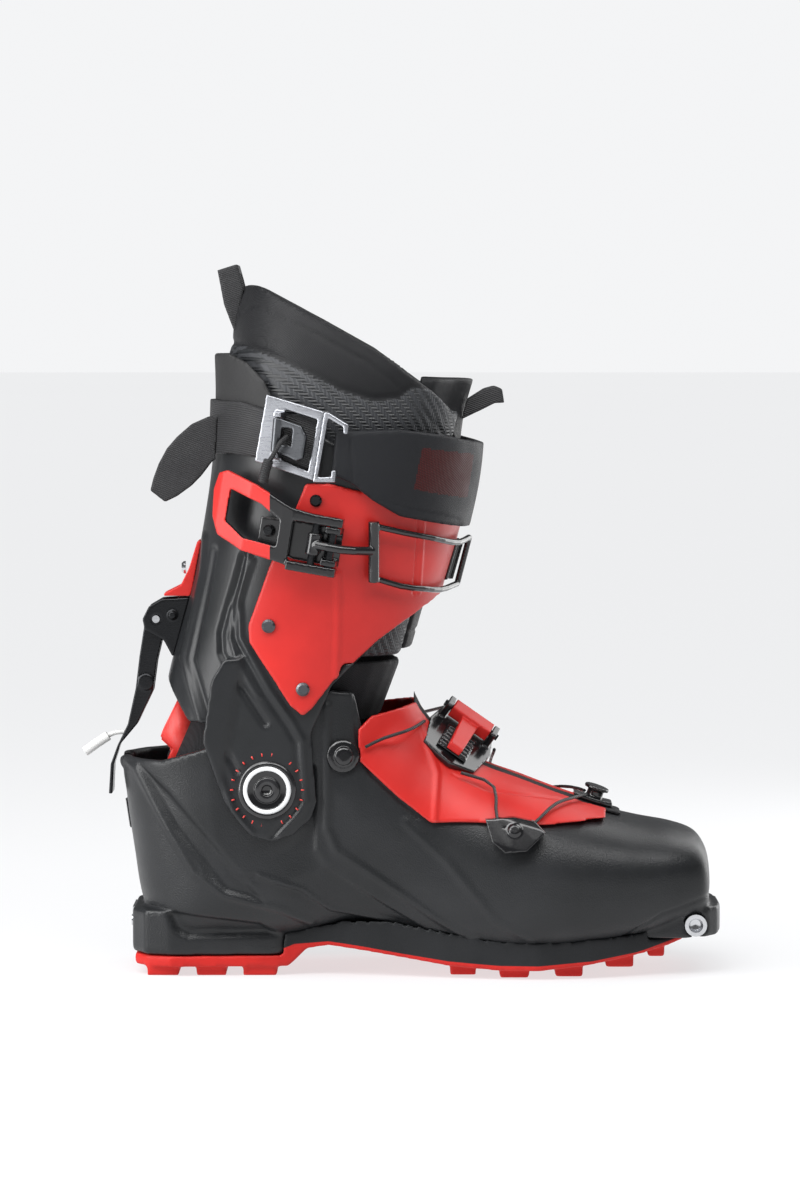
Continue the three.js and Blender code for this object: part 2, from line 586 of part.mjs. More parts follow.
// The red panel between the shell and the cuff, round the pivot's axis.
function rearPanel() {
  const arc = (radius, from, to) => Array.from({ length: 9 }, (_, i) => {
    const angle = THREE.MathUtils.degToRad(from + ((to - from) * i) / 8);
    return [PIVOT[0] + radius * Math.cos(angle), PIVOT[1] + radius * Math.sin(angle)];
  });
  const sheet = across([...arc(58, 139, 167), ...arc(56, 167, 139)], -19, 19);
  return cut(sheet, lowerShellSolid);
}

// ---- Pivot ----
function pivotBolt(side) {
  const profile = [[0, 0], [PIVOT_HOLE_R - 0.15, 0], [PIVOT_HOLE_R - 0.15, 8.5], [13.6, 8.5], [13.6, 10],
    [11.4, 11], [10.6, 11], [9.6, 10.2], [6.4, 10.2], [6, 11.4], [0, 11.4]];
  const inset = LOBE_OUT + GAP - 8.5;
  return alongY(turned(profile, 20), ...PIVOT, inset, side);
}

// ---- Liner leg ----
const TONGUE_HALF = 20;

function linerCuff() {
  const above = [[20, 316], [50, 322], [57.8, 324], [63, 321.3], [90, 306.7], [113.7, 293.4], [127, 283.5],
    [141, 273.5], [148, 265], [200, 262], [200, 400], [0, 400]];
  const slot = box(100, 220, -TONGUE_HALF, TONGUE_HALF, 100, 400);
  return cut(legShell(-LINER_WALL, 0, LINER_LEG), across(above, -80, 80), slot);
}

function tongue() {
  const outline = [[100, 153], [100, 282], [133, 280], [142, 280.8], [157, 279.5], [200, 279.5], [200, 153]];
  const inset = TONGUE_HALF - GAP;
  return common(legShell(-LINER_WALL, 0.6, LINER_LEG), across(outline, -inset, inset));
}

function rearLoop() {
  const band = [[40, 330], [49.5, 333], [51.5, 326], [55, 312], [55, 296], [50, 296], [46, 306], [43, 314]];
  return cut(across(band, -13, 13), box(0, 100, -10.8, 10.8, 290, 328.5), loft(LINER_LEG, GAP));
}

function frontLoop() {
  const band = [[145, 259], [150, 264], [157, 269.5], [165, 274.6], [170, 276], [173.5, 274.5], [174.5, 268],
    [170, 267.8], [163.5, 264.5], [152, 259]];
  return cut(across(band, -11, 11), box(120, 171, -9, 9, 240, 290), loft(LINER_LEG, 0.6 + GAP));
}

// ---- Power strap ----
const BAND_OUT = GAP + STRAP_THICK;

function strapBand() {
  const outline = [[-10, 240], [48, 245], [62, 243], [89, 236.5], [91, 261], [64.7, 265.5], [52, 269], [-10, 272]];
  return common(legShell(GAP, BAND_OUT), across(outline, -80, 80));
}

function strapPad() {
  const outline = [[96, 256], [125.5, 256.6], [144, 254], [185, 245], [180, 205], [156, 210], [144, 212.5],
    [125.5, 216.5], [113, 224], [103, 232], [94, 236]];
  return common(legShell(FLAP_OUT + GAP, FLAP_OUT + 4.5), across(outline, -80, 80));
}

function strapTail() {
  const outline = [[50, 262], [36.5, 262], [28.4, 258.4], [21.5, 252.4], [16.8, 247], [13, 240], [10.4, 233], [9, 227.4],
    [15.9, 222], [21.5, 224.7], [28.4, 229.7], [33, 234.4], [38, 241], [50, 246]];
  return cut(across(outline, -26.5, -24), loft(LEG, BAND_OUT + GAP));
}

// A flat piece that stands on the leg's outer side, in its own directions: forward, up the leg and out.
function sideFrame(x, z, lift, lean) {
  const hit = sideHit(legRay, x, z, LATERAL);
  const out = new THREE.Vector3(hit.normal.x, hit.normal.y, 0).normalize();
  const up = new THREE.Vector3(Math.sin(lean), 0, Math.cos(lean)).projectOnPlane(out).normalize();
  const forward = new THREE.Vector3().crossVectors(up, out);
  return new THREE.Matrix4().makeBasis(forward, up, out).setPosition(off(hit, lift));
}

function onFrame(frame, points, low, high) {
  const made = new THREE.ExtrudeGeometry(shapeOf(points), { depth: high - low, bevelEnabled: false });
  return toSolid(made.translate(0, 0, low).applyMatrix4(frame));
}

const legRay = rayMesh(loft(LEG, 0));
const STRAP_FRAME = sideFrame(80, 252, BAND_OUT + GAP, 0.1);
const CAM_AXIS = [-9, 5.2]; // forward, out
const CAM_PIN_R = 1.2;

function pinUp(frame, forward, out, radius, low, high, sides = 12) {
  const rod = new THREE.CylinderGeometry(radius, radius, high - low, sides);
  return toSolid(rod.translate(forward, (low + high) / 2, out).applyMatrix4(frame));
}

function strapBuckle() {
  const ring = onFrame(STRAP_FRAME, [[-17, 19], [12, 14], [9.5, -18], [-20, -12]], 0, 2);
  const window = onFrame(STRAP_FRAME, [[-7, 13], [9, 10], [6.5, -14], [-10.5, -9]], -1, 3);
  const ears = [[9.4, 12], [-9.5, -7]].map(([low, high]) =>
    onFrame(STRAP_FRAME, [[-11, low], [-7, low], [-7, high], [-11, high]], 1, 7));
  return cut(join(cut(ring, window), ...ears), pinUp(STRAP_FRAME, ...CAM_AXIS, CAM_PIN_R + 0.1, -20, 20));
}

function strapCam() {
  const plate = onFrame(STRAP_FRAME, [[-8, 9], [3, 6.5], [5.8, 2], [5, -8], [2, -9.5], [-7, -6.6]], 3.9, 6.4);
  const barrel = pinUp(STRAP_FRAME, ...CAM_AXIS, 2.2, -6.6, 9);
  const eye = onFrame(STRAP_FRAME, [[-6.5, -3], [-1, -3], [-1, 5], [-6.5, 5]], 3, 8);
  return cut(join(plate, barrel), eye, pinUp(STRAP_FRAME, ...CAM_AXIS, CAM_PIN_R + 0.1, -20, 20));
}

const camPin = () => pinUp(STRAP_FRAME, ...CAM_AXIS, CAM_PIN_R, -9.4, 11.8);

function strapHook() {
  const c = [[12.8, 14], [15.2, 14], [25, 9.5], [25, 5], [23, 5], [22.8, 8], [15, 11.4], [12.4, -16], [19, -15],
    [19, -12], [21, -12], [21, -17.5], [10.2, -18.6]];
  return onFrame(STRAP_FRAME, c, 2.5, 4.5);
}

// ---- Upper buckle ----
const BUCKLE_FRAME = sideFrame(84, 205, FLAP_OUT + GAP, 0.17);
const BUCKLE_AXIS = [11, 6.5]; // lever's hinge: forward, out
const BAIL_AXIS = [3, 7]; // where the bail hangs on the lever
const BASE_OUT = FLAP_OUT + 1.9;
const BUCKLE_SCREW = [-19, 2];

function buckleBase() {
  const outline = [[-24, -5], [-24, 8], [-6, 9], [15, 9], [15, -9], [-6, -9]];
  const plate = common(legShell(FLAP_OUT + GAP, BASE_OUT), onFrame(BUCKLE_FRAME, outline, -60, 30));
  const ears = [[6, 9], [-9, -6]].map(([low, high]) =>
    onFrame(BUCKLE_FRAME, [[7.5, low], [14.5, low], [14.5, high], [7.5, high]], -2, 9.5));
  const pinHole = pinUp(BUCKLE_FRAME, ...BUCKLE_AXIS, PIN_R + 0.1, -30, 30);
  return cut(join(plate, ...ears), loft(LEG, FLAP_OUT + GAP), pinHole);
}

function buckleLever() {
  const outline = [[-43, 26], [-27, 22], [-10, 15], [2, 13.6], [15, 13.6], [15, 9.4], [-6, 9.4], [-6, -9.4],
    [15, -9.4], [15, -13.6], [2, -13.6], [-12, -11], [-30, -9], [-43, -4], [-47, 4], [-48.5, 16], [-47, 24]];
  const sheet = cut(loft(LEG, FLAP_OUT + 9.5), loft(longer(LEG, 4), FLAP_OUT + 5));
  const wrapped = common(sheet, onFrame(BUCKLE_FRAME, outline, -60, 30));
  const arms = [[9.4, 13.6], [-13.6, -9.4]].map(([low, high]) =>
    onFrame(BUCKLE_FRAME, [[-8, low], [15, low], [15, high], [-8, high]], 2.4, 10));
  const window = onFrame(BUCKLE_FRAME, [[-40, 3], [-40, 18], [-24, 14], [-14, 8], [-14, -4], [-30, -3]], -60, 30);
  const slot = onFrame(BUCKLE_FRAME, [[-8, -9.4], [20, -9.4], [20, 9.4], [-8, 9.4]], -60, 30);
  const holes = [BUCKLE_AXIS, BAIL_AXIS].map((at) => pinUp(BUCKLE_FRAME, ...at, PIN_R + 0.1, -30, 30));
  return cut(join(cut(wrapped, window), ...arms), slot, ...holes);
}

const buckleUp = new THREE.Vector3().setFromMatrixColumn(BUCKLE_FRAME, 1);
const atBuckle = (x, y, z) => new THREE.Vector3(x, y, z).applyMatrix4(BUCKLE_FRAME);
const onLeg = (x, z, lift) => off(sideHit(legRay, x, z, LATERAL), lift);
const WIRE_R = 1.5;
const BAIL_FRONT = [158.2, -4];

function bail() {
  const barrel = pinUp(BUCKLE_FRAME, ...BAIL_AXIS, 3.4, -5, 5, 16);
  const yokeAt = onLeg(112, 202, FLAP_OUT + 5);
  const rod = toSolid(tube([atBuckle(BAIL_AXIS[0] + 1, 0, BAIL_AXIS[1] + 2), atBuckle(BUCKLE_AXIS[0], 0, 11.2),
    atBuckle(18, 0, 10), yokeAt], 2.1, 8, 5));
  const wires = [[213.5, 210, 204.5, 147], [189.5, 185, 182.6, 139]].map(([z0, z1, z2, x3]) => tube([
    onLeg(111, z0, FLAP_OUT + 5), onLeg(124, z1, FLAP_OUT + 4), onLeg((124 + x3) / 2, (z1 + z2) / 2, FLAP_OUT + 3.5),
    onLeg(x3, z2, FLAP_OUT + 3.5), new THREE.Vector3(BAIL_FRONT[0] - (204.5 - z2) * 0.26, BAIL_FRONT[1], z2)],
    WIRE_R, 6, 9));
  const front = tube([new THREE.Vector3(BAIL_FRONT[0], BAIL_FRONT[1], 204.5),
    new THREE.Vector3(BAIL_FRONT[0] - 21.9 * 0.26, BAIL_FRONT[1], 182.6)], WIRE_R, 6, 2);
  const yoke = tube([onLeg(111, 215.5, FLAP_OUT + 5), onLeg(111, 187.5, FLAP_OUT + 5)], 2.6, 8, 3);
  const solid = join(toSolid(yoke), rod, barrel, ...wires.map(toSolid), toSolid(front));
  return cut(solid, pinUp(BUCKLE_FRAME, ...BAIL_AXIS, PIN_R + 0.1, -30, 30));
}

function buckleRack() {
  const room = (y0, y1) => box(100, 200, y0, y1, 184.5, 203);
  const strip = common(legShell(FLAP_OUT + GAP, FLAP_OUT + 1.8), room(-7.5, 34));
  const teeth = [[1, 4], [9, 12], [17, 20], [25, 28]].map(([y0, y1]) =>
    common(legShell(FLAP_OUT + 1, FLAP_OUT + 4), room(y0, y1)));
  return join(strip, ...teeth);
}

function flapRivet(x, z, radius) {
  return standOn(rivetShape(radius, 1.8), sideHit(rayMesh(loft(LEG, FLAP_OUT)), x, z, LATERAL));
}

function buckleScrew() {
  const spot = atBuckle(BUCKLE_SCREW[0], BUCKLE_SCREW[1], 0);
  return standOn(rivetShape(2.8, 1.7), sideHit(rayMesh(loft(LEG, BASE_OUT)), spot.x, spot.z, LATERAL));
}

// ---- Heel and pulls ----
const HEEL_FIT = { half: 12, bottom: 14, top: 30, back: -0.9, front: 3 };

function heelFitting() {
  const { half, bottom, top, back, front } = HEEL_FIT;
  const slots = [box(back - 1, 1.4, -8, -5, bottom + 2, top - 3), box(back - 1, 1.4, 5, 8, bottom + 2, top - 3)];
  const head = turned([[0, 0], [3, 0], [2.6, 1.5], [0, 1.5]], 16).rotateY(-Math.PI / 2);
  const screw = toSolid(head.translate(back + GAP, 0, (bottom + top) / 2));
  return join(cut(box(back, front, -half, half, bottom, top), ...slots), screw);
}

const heelRoom = () => {
  const { half, bottom, top, back, front } = HEEL_FIT;
  return box(back - 5, front + GAP, -half - GAP, half + GAP, bottom - GAP, top + GAP);
};

// The thin steel plate that the walk lever's tail locks on.
function lockPlate() {
  return common(cut(footLoft(GAP + 1), footLoft(GAP)), box(-20, 5, -6, 6, 67, 80));
}

const inPlane = (points) => points.map(([x, z]) => new THREE.Vector3(x, 0, z));

function walkPull() {
  const neck = tube(inPlane([[-5.4, 111.8], [-9.5, 111.5], [-14, 109.6]]), CORD_R, 8, 5);
  const sleeve = tube(inPlane([[-13, 110], [-18.5, 106.4], [-24, 102.4]]), 2.3, 12, 4);
  return join(toSolid(neck), toSolid(sleeve));
}

function camPull() {
  const at = (x, y, z) => new THREE.Vector3(x, y, z).applyMatrix4(STRAP_FRAME);
  const neck = tube([at(-3.6, 1, 5.2), at(-5, -1.5, 9), at(-8, -8, 10), at(-10.4, -12, 9.4)], CORD_R, 6, 8);
  const sleeve = tube([at(-10, -10.5, 9.6), at(-11.4, -15, 9), at(-12.4, -20.5, 8.2)], 2.3, 10, 4);
  return join(toSolid(neck), toSolid(sleeve));
}

// ---- Assembly: the shell and what is fixed to it ----
put("lower_shell", cut(lowerShellSolid, heelRoom()), BLACK);
put("outsole", outsole(), RED_RUBBER);
for (const [side, name] of [[LATERAL, "lateral"], [MEDIAL, "medial"]]) {
  put(`toe_fitting_${name}`, toeFitting(side), SILVER);
  put(`instep_flap_${name}`, instepFlap(side), RED);
  put(`cable_anchor_${name}`, cableAnchor(side), SILVER);
  put(`instep_cable_${name}`, instepCable(side), BLACK_METAL);
  put(`forefoot_cable_${name}`, foreCable(side), BLACK_METAL);
  put(`cable_guide_${name}`, cableGuide(side), DARK);
  put(`pivot_bolt_${name}`, pivotBolt(side), SILVER);
}
put("heel_fitting", heelFitting(), SILVER);
put("lock_plate", lockPlate(), SILVER);
put("boot_board", bootBoard(), DARK);
put("liner_foot", linerFoot(), FABRIC);
put("liner_flex", linerFlex(), FABRIC);
put("rear_panel", rearPanel(), RED);
put("gaiter", gaiter(), DARK);
put("instep_saddle", instepSaddle(), BLACK);
put("instep_lever_pin", saddlePin(SADDLE_PIN_R, 15), SILVER);
put("instep_rack", saddleRack(), BLACK_METAL);
put("instep_lever", saddleLever(), RED);
put("front_hook", frontHook(), BLACK_METAL);

// ---- Assembly: the cuff and what moves on it ----
put("cuff", cuff(), BLACK);
put("cuff_flap_lateral", legFlap(LATERAL), RED);
put("cuff_flap_medial", legFlap(MEDIAL), RED);
put("flap_rivet_upper", flapRivet(87, 224, 2.8), BLACK_METAL);
put("flap_rivet_middle", flapRivet(65, 166, RIVET_R), GREY_METAL);
put("flap_rivet_lower", flapRivet(80.6, 136.7, RIVET_R), GREY_METAL);
put("spoiler", spoiler(), BLACK);
put("spine_housing", spineHousing(), RED);
put("housing_bolt", rivetShape(3, 2).rotateY(-Math.PI / 2).translate(24.2, 0, 190), BLACK_METAL);
put("walk_bracket", walkBracket(), GREY_METAL);
put("walk_lever_pin", pin(LEVER_PIN, PIN_R, LEVER_HALF + 2.6), SILVER);
put("walk_lever", walkLever(), GREY_METAL);
put("walk_lever_pull", walkPull(), GREY_METAL);
put("liner_cuff", linerCuff(), FABRIC);
put("tongue", tongue(), FABRIC);
put("rear_loop", rearLoop(), DARK);
put("front_loop", frontLoop(), DARK);
put("strap_band", strapBand(), DARK);
put("strap_pad", strapPad(), DARK);
put("strap_tail", strapTail(), DARK);
put("strap_buckle", strapBuckle(), SILVER);
put("strap_hook", strapHook(), SILVER);
put("strap_cam", strapCam(), GREY_METAL);
put("strap_cam_pin", camPin(), SILVER);
put("strap_cam_pull", camPull(), GREY_METAL);
put("buckle_base", buckleBase(), BLACK_METAL);
put("buckle_screw", buckleScrew(), SILVER);
put("buckle_pin", pinUp(BUCKLE_FRAME, ...BUCKLE_AXIS, PIN_R, -13.3, 13.3), SILVER);
put("buckle_lever", buckleLever(), RED);
put("bail_pin", pinUp(BUCKLE_FRAME, ...BAIL_AXIS, PIN_R, -13.3, 13.3), SILVER);
put("buckle_bail", bail(), BLACK_METAL);
put("buckle_rack", buckleRack(), BLACK_METAL);

// The finished boot stands with the middle of its box over the origin.
const bounds = new THREE.Box3().setFromObject(boot);
boot.position.set(-(bounds.min.x + bounds.max.x) / 2, -(bounds.min.y + bounds.max.y) / 2, -bounds.min.z);
export default boot;
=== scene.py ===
"""The looks of the alpine touring boot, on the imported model's frame.

Lengths are metres unless a name says mm.
"""
import json
import math

import bmesh
import bpy
import numpy as np
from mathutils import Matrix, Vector
from mathutils.bvhtree import BVHTree


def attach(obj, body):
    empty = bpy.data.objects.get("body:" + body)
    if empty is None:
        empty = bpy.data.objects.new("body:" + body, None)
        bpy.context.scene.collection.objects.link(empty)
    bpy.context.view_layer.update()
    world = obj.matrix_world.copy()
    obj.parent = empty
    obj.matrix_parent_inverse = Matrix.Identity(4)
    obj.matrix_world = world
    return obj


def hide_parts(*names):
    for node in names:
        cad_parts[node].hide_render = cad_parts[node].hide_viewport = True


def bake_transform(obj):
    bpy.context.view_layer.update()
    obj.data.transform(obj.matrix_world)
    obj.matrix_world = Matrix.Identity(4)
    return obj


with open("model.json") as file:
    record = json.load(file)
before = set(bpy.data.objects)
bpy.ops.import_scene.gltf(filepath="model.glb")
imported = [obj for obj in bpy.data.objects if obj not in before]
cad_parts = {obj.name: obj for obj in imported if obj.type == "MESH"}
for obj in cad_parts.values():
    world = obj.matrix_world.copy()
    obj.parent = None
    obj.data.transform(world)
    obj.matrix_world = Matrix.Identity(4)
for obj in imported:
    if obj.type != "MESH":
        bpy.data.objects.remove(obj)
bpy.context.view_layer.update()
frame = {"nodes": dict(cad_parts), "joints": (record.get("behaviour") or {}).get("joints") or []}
nodes = frame["nodes"]
MM = 0.001

# The making frame has X 0 at the heel's rear, Y 0 in the middle and Z 0 on the ground, in millimetres.
PIVOT_X = 64.0
PIVOT_Z = 89.7
pivot_pos = next(j for j in frame["joints"] if j["name"] == "cuff_pivot")["pos_m"]
OFFSET = np.array([pivot_pos[0] / MM - PIVOT_X, pivot_pos[1] / MM, 0.0])
LATERAL = -1
MEDIAL = 1


def to_row(points_mm):
    return (np.asarray(points_mm, float) + OFFSET) * MM


def to_mm(points):
    return np.asarray(points, float) / MM - OFFSET


# ---- Camera ----
CAMERA_X_MM = 125.5
CAMERA_Y_MM = -1900.0
CAMERA_Z_MM = 300.0
AIM_Z_MM = 174.5
LENS_MM = 120.6
SENSOR_MM = 36.0
FAR_M = 50


def make_camera():
    data = bpy.data.cameras.new("camera")
    data.sensor_fit = "VERTICAL"
    data.sensor_height = SENSOR_MM
    data.lens = LENS_MM
    data.clip_end = FAR_M
    camera = bpy.data.objects.new("camera", data)
    bpy.context.scene.collection.objects.link(camera)
    camera.location = to_row([CAMERA_X_MM, CAMERA_Y_MM, CAMERA_Z_MM])
    aim = Vector(to_row([CAMERA_X_MM, 0, AIM_Z_MM])) - camera.location
    camera.rotation_euler = aim.to_track_quat("-Z", "Y").to_euler()
    bpy.context.scene.camera = camera


make_camera()


# ---- Materials ----
NOISE_ROUGH = 0.55
EDGE_HIGHLIGHT_LOW = 0.53  # pointiness where the painted edge highlight begins
EDGE_HIGHLIGHT_HIGH = 0.6
EDGE_HIGHLIGHT_SHARE = 0.5
PLASTIC_SHINE = 0.4
COAT_ROUGH = 0.12
BRUSH_SCALE = (60, 60, 1600)
TWILL_ROUGH = 0.45


class Nodes:
    """A small hand for building one material's node tree."""

    def __init__(self, name):
        self.material = bpy.data.materials.new(name)
        self.material.use_nodes = True
        self.tree = self.material.node_tree
        self.shader = self.tree.nodes["Principled BSDF"]
        coords = self.tree.nodes.new("ShaderNodeTexCoord")
        self.place = coords.outputs["Object"]

    def new(self, kind, **settings):
        node = self.tree.nodes.new(kind)
        for key, value in settings.items():
            setattr(node, key, value)
        return node

    def link(self, out, into):
        self.tree.links.new(out, into)

    def scaled(self, scale):
        mapping = self.new("ShaderNodeMapping")
        mapping.inputs["Scale"].default_value = scale
        self.link(self.place, mapping.inputs["Vector"])
        return mapping.outputs["Vector"]

    def noise(self, scale, detail=3.0, where=None):
        node = self.new("ShaderNodeTexNoise")
        node.inputs["Scale"].default_value = scale
        node.inputs["Detail"].default_value = detail
        node.inputs["Roughness"].default_value = NOISE_ROUGH
        self.link(where or self.place, node.inputs["Vector"])
        return node.outputs["Fac"]

    def cells(self, scale):
        node = self.new("ShaderNodeTexVoronoi")
        node.inputs["Scale"].default_value = scale
        self.link(self.place, node.inputs["Vector"])
        return node.outputs["Distance"]

    def maths(self, operation, *values):
        node = self.new("ShaderNodeMath", operation=operation)
        for socket, value in zip(node.inputs, values):
            if isinstance(value, (int, float)):
                socket.default_value = value
            else:
                self.link(value, socket)
        return node.outputs[0]

    def spread(self, value, low, high, out_low, out_high):
        node = self.new("ShaderNodeMapRange")
        names = ("From Min", "From Max", "To Min", "To Max")
        for key, number in zip(names, (low, high, out_low, out_high)):
            node.inputs[key].default_value = number
        self.link(value, node.inputs["Value"])
        return node.outputs["Result"]

    def mix(self, share, one, two):
        node = self.new("ShaderNodeMix", data_type="RGBA")
        self.link(share, node.inputs[0])
        for socket, colour in ((node.inputs[6], one), (node.inputs[7], two)):
            if isinstance(colour, tuple):
                socket.default_value = (*colour, 1)
            else:
                self.link(colour, socket)
        return node.outputs[2]

    def bump(self, height, distance):
        node = self.new("ShaderNodeBump")
        node.inputs["Strength"].default_value = 1.0
        node.inputs["Distance"].default_value = distance
        self.link(height, node.inputs["Height"])
        self.link(node.outputs["Normal"], self.shader.inputs["Normal"])

    # Painted highlight: sharp convex edges, found by pointiness, are mixed toward a lighter colour.
    def painted_edge_highlight(self, colour, highlight_colour):
        """Convex edges a little lighter, in noisy patches: a painted edge highlight."""
        geometry = self.new("ShaderNodeNewGeometry")
        edge = self.spread(geometry.outputs["Pointiness"], EDGE_HIGHLIGHT_LOW, EDGE_HIGHLIGHT_HIGH, 0.0, EDGE_HIGHLIGHT_SHARE)
        patch = self.maths("MULTIPLY", edge, self.spread(self.noise(260), 0.35, 0.6, 0.3, 1.0))
        return self.mix(patch, colour, highlight_colour)


def moulded(name, dark, light, rough, grain, grain_depth, edge, coat=0.0):
    """Moulded plastic with a fine leather-like grain, slow colour variation and a painted highlight on its
    edges.
    """
    n = Nodes(name)
    colour = n.mix(n.spread(n.noise(26, 4), 0.3, 0.7, 0, 1), dark, light)
    # The edges get a painted highlight, mixed in by sharpness.
    n.link(n.painted_edge_highlight(colour, edge), n.shader.inputs["Base Color"])
    smudge = n.spread(n.noise(45, 5), 0.3, 0.75, rough - 0.05, rough + 0.08)
    n.link(smudge, n.shader.inputs["Roughness"])
    if grain:
        pits = n.maths("ADD", n.cells(grain), n.maths("MULTIPLY", n.noise(grain * 2, 2), 0.5))
        n.bump(pits, grain_depth)
    n.shader.inputs["Coat Weight"].default_value = coat
    n.shader.inputs["Coat Roughness"].default_value = COAT_ROUGH
    n.shader.inputs["Specular IOR Level"].default_value = PLASTIC_SHINE
    return n.material


def metal(name, tone, rough, depth=0.00003, metallic=1.0):
    """Drawn or milled metal with fine brushing and faint smudges."""
    n = Nodes(name)
    dark = tuple(c * 0.8 for c in tone)
    colour = n.mix(n.spread(n.noise(70, 4), 0.3, 0.7, 0, 1), dark, tone)
    n.link(colour, n.shader.inputs["Base Color"])
    lines = n.noise(3, 2, where=n.scaled(BRUSH_SCALE))
    n.link(n.spread(lines, 0.3, 0.7, rough - 0.06, rough + 0.08), n.shader.inputs["Roughness"])
    n.shader.inputs["Metallic"].default_value = metallic
    n.bump(lines, depth)
    return n.material


def weave(name, dark, light, pitch_mm, depth, rough=0.75, sheen=0.3, tilt=0.0):
    """Woven cloth: warp and weft ribs crossing at the thread's pitch."""
    n = Nodes(name)
    turned = n.new("ShaderNodeMapping")
    turned.inputs["Rotation"].default_value = (0, tilt, 0)
    n.link(n.place, turned.inputs["Vector"])
    split = n.new("ShaderNodeSeparateXYZ")
    n.link(turned.outputs["Vector"], split.inputs["Vector"])
    rate = 2 * math.pi / (pitch_mm * MM)
    diagonal = n.maths("ADD", split.outputs["X"], split.outputs["Y"])
    along = n.maths("SINE", n.maths("MULTIPLY", diagonal, rate))
    up = n.maths("SINE", n.maths("MULTIPLY", split.outputs["Z"], rate))
    threads = n.maths("ADD", n.maths("MULTIPLY", along, up), n.maths("MULTIPLY", n.noise(900, 2), 0.6))
    colour = n.mix(n.spread(threads, -0.8, 1.2, 0, 1), dark, light)
    n.link(colour, n.shader.inputs["Base Color"])
    n.link(n.spread(n.noise(80), 0.3, 0.7, rough - 0.06, rough + 0.08), n.shader.inputs["Roughness"])
    n.shader.inputs["Sheen Weight"].default_value = sheen
    n.shader.inputs["Sheen Roughness"].default_value = 0.4
    n.shader.inputs["Specular IOR Level"].default_value = 0.25
    n.bump(threads, depth)
    return n.material


def ribbed(name, dark, light, pitch_mm, depth, direction, rough=0.6):
    """Webbing or moulded ribs: fine lines across one direction."""
    n = Nodes(name)
    split = n.new("ShaderNodeVectorMath", operation="DOT_PRODUCT")
    split.inputs[1].default_value = direction
    n.link(n.place, split.inputs[0])
    wave = n.maths("SINE", n.maths("MULTIPLY", split.outputs["Value"], 2 * math.pi / (pitch_mm * MM)))
    threads = n.maths("ADD", wave, n.maths("MULTIPLY", n.noise(1100, 2), 0.8))
    n.link(n.mix(n.spread(threads, -0.6, 1.4, 0, 1), dark, light), n.shader.inputs["Base Color"])
    n.link(n.spread(n.noise(90), 0.3, 0.7, rough - 0.05, rough + 0.08), n.shader.inputs["Roughness"])
    n.shader.inputs["Sheen Weight"].default_value = 0.03
    n.bump(threads, depth)
    return n.material


def twill(name, dark, light, pitch_mm, depth):
    """A two-by-two twill of dark fibre, seen from the side."""
    n = Nodes(name)
    split = n.new("ShaderNodeSeparateXYZ")
    n.link(n.place, split.inputs["Vector"])
    size = pitch_mm * MM
    leaning = n.maths("ADD", split.outputs["X"], n.maths("MULTIPLY", split.outputs["Y"], 0.9))
    across = n.maths("DIVIDE", leaning, size)
    up = n.maths("DIVIDE", split.outputs["Z"], size)
    step = n.maths("ADD", n.maths("FLOOR", across), n.maths("FLOOR", up))
    over = n.maths("LESS_THAN", n.maths("MODULO", n.maths("ABSOLUTE", step), 4), 2)
    column = n.maths("SINE", n.maths("MULTIPLY", across, 2 * math.pi))
    row = n.maths("SINE", n.maths("MULTIPLY", up, 2 * math.pi))
    under = n.maths("SUBTRACT", 1, over)
    height = n.maths("ADD", n.maths("MULTIPLY", over, column), n.maths("MULTIPLY", under, row))
    tone = n.maths("ADD", n.maths("MULTIPLY", over, 0.6), n.maths("MULTIPLY", n.noise(300), 0.4))
    n.link(n.mix(tone, dark, light), n.shader.inputs["Base Color"])
    n.link(n.spread(over, 0, 1, TWILL_ROUGH - 0.06, TWILL_ROUGH + 0.08), n.shader.inputs["Roughness"])
    n.bump(height, depth)
    return n.material


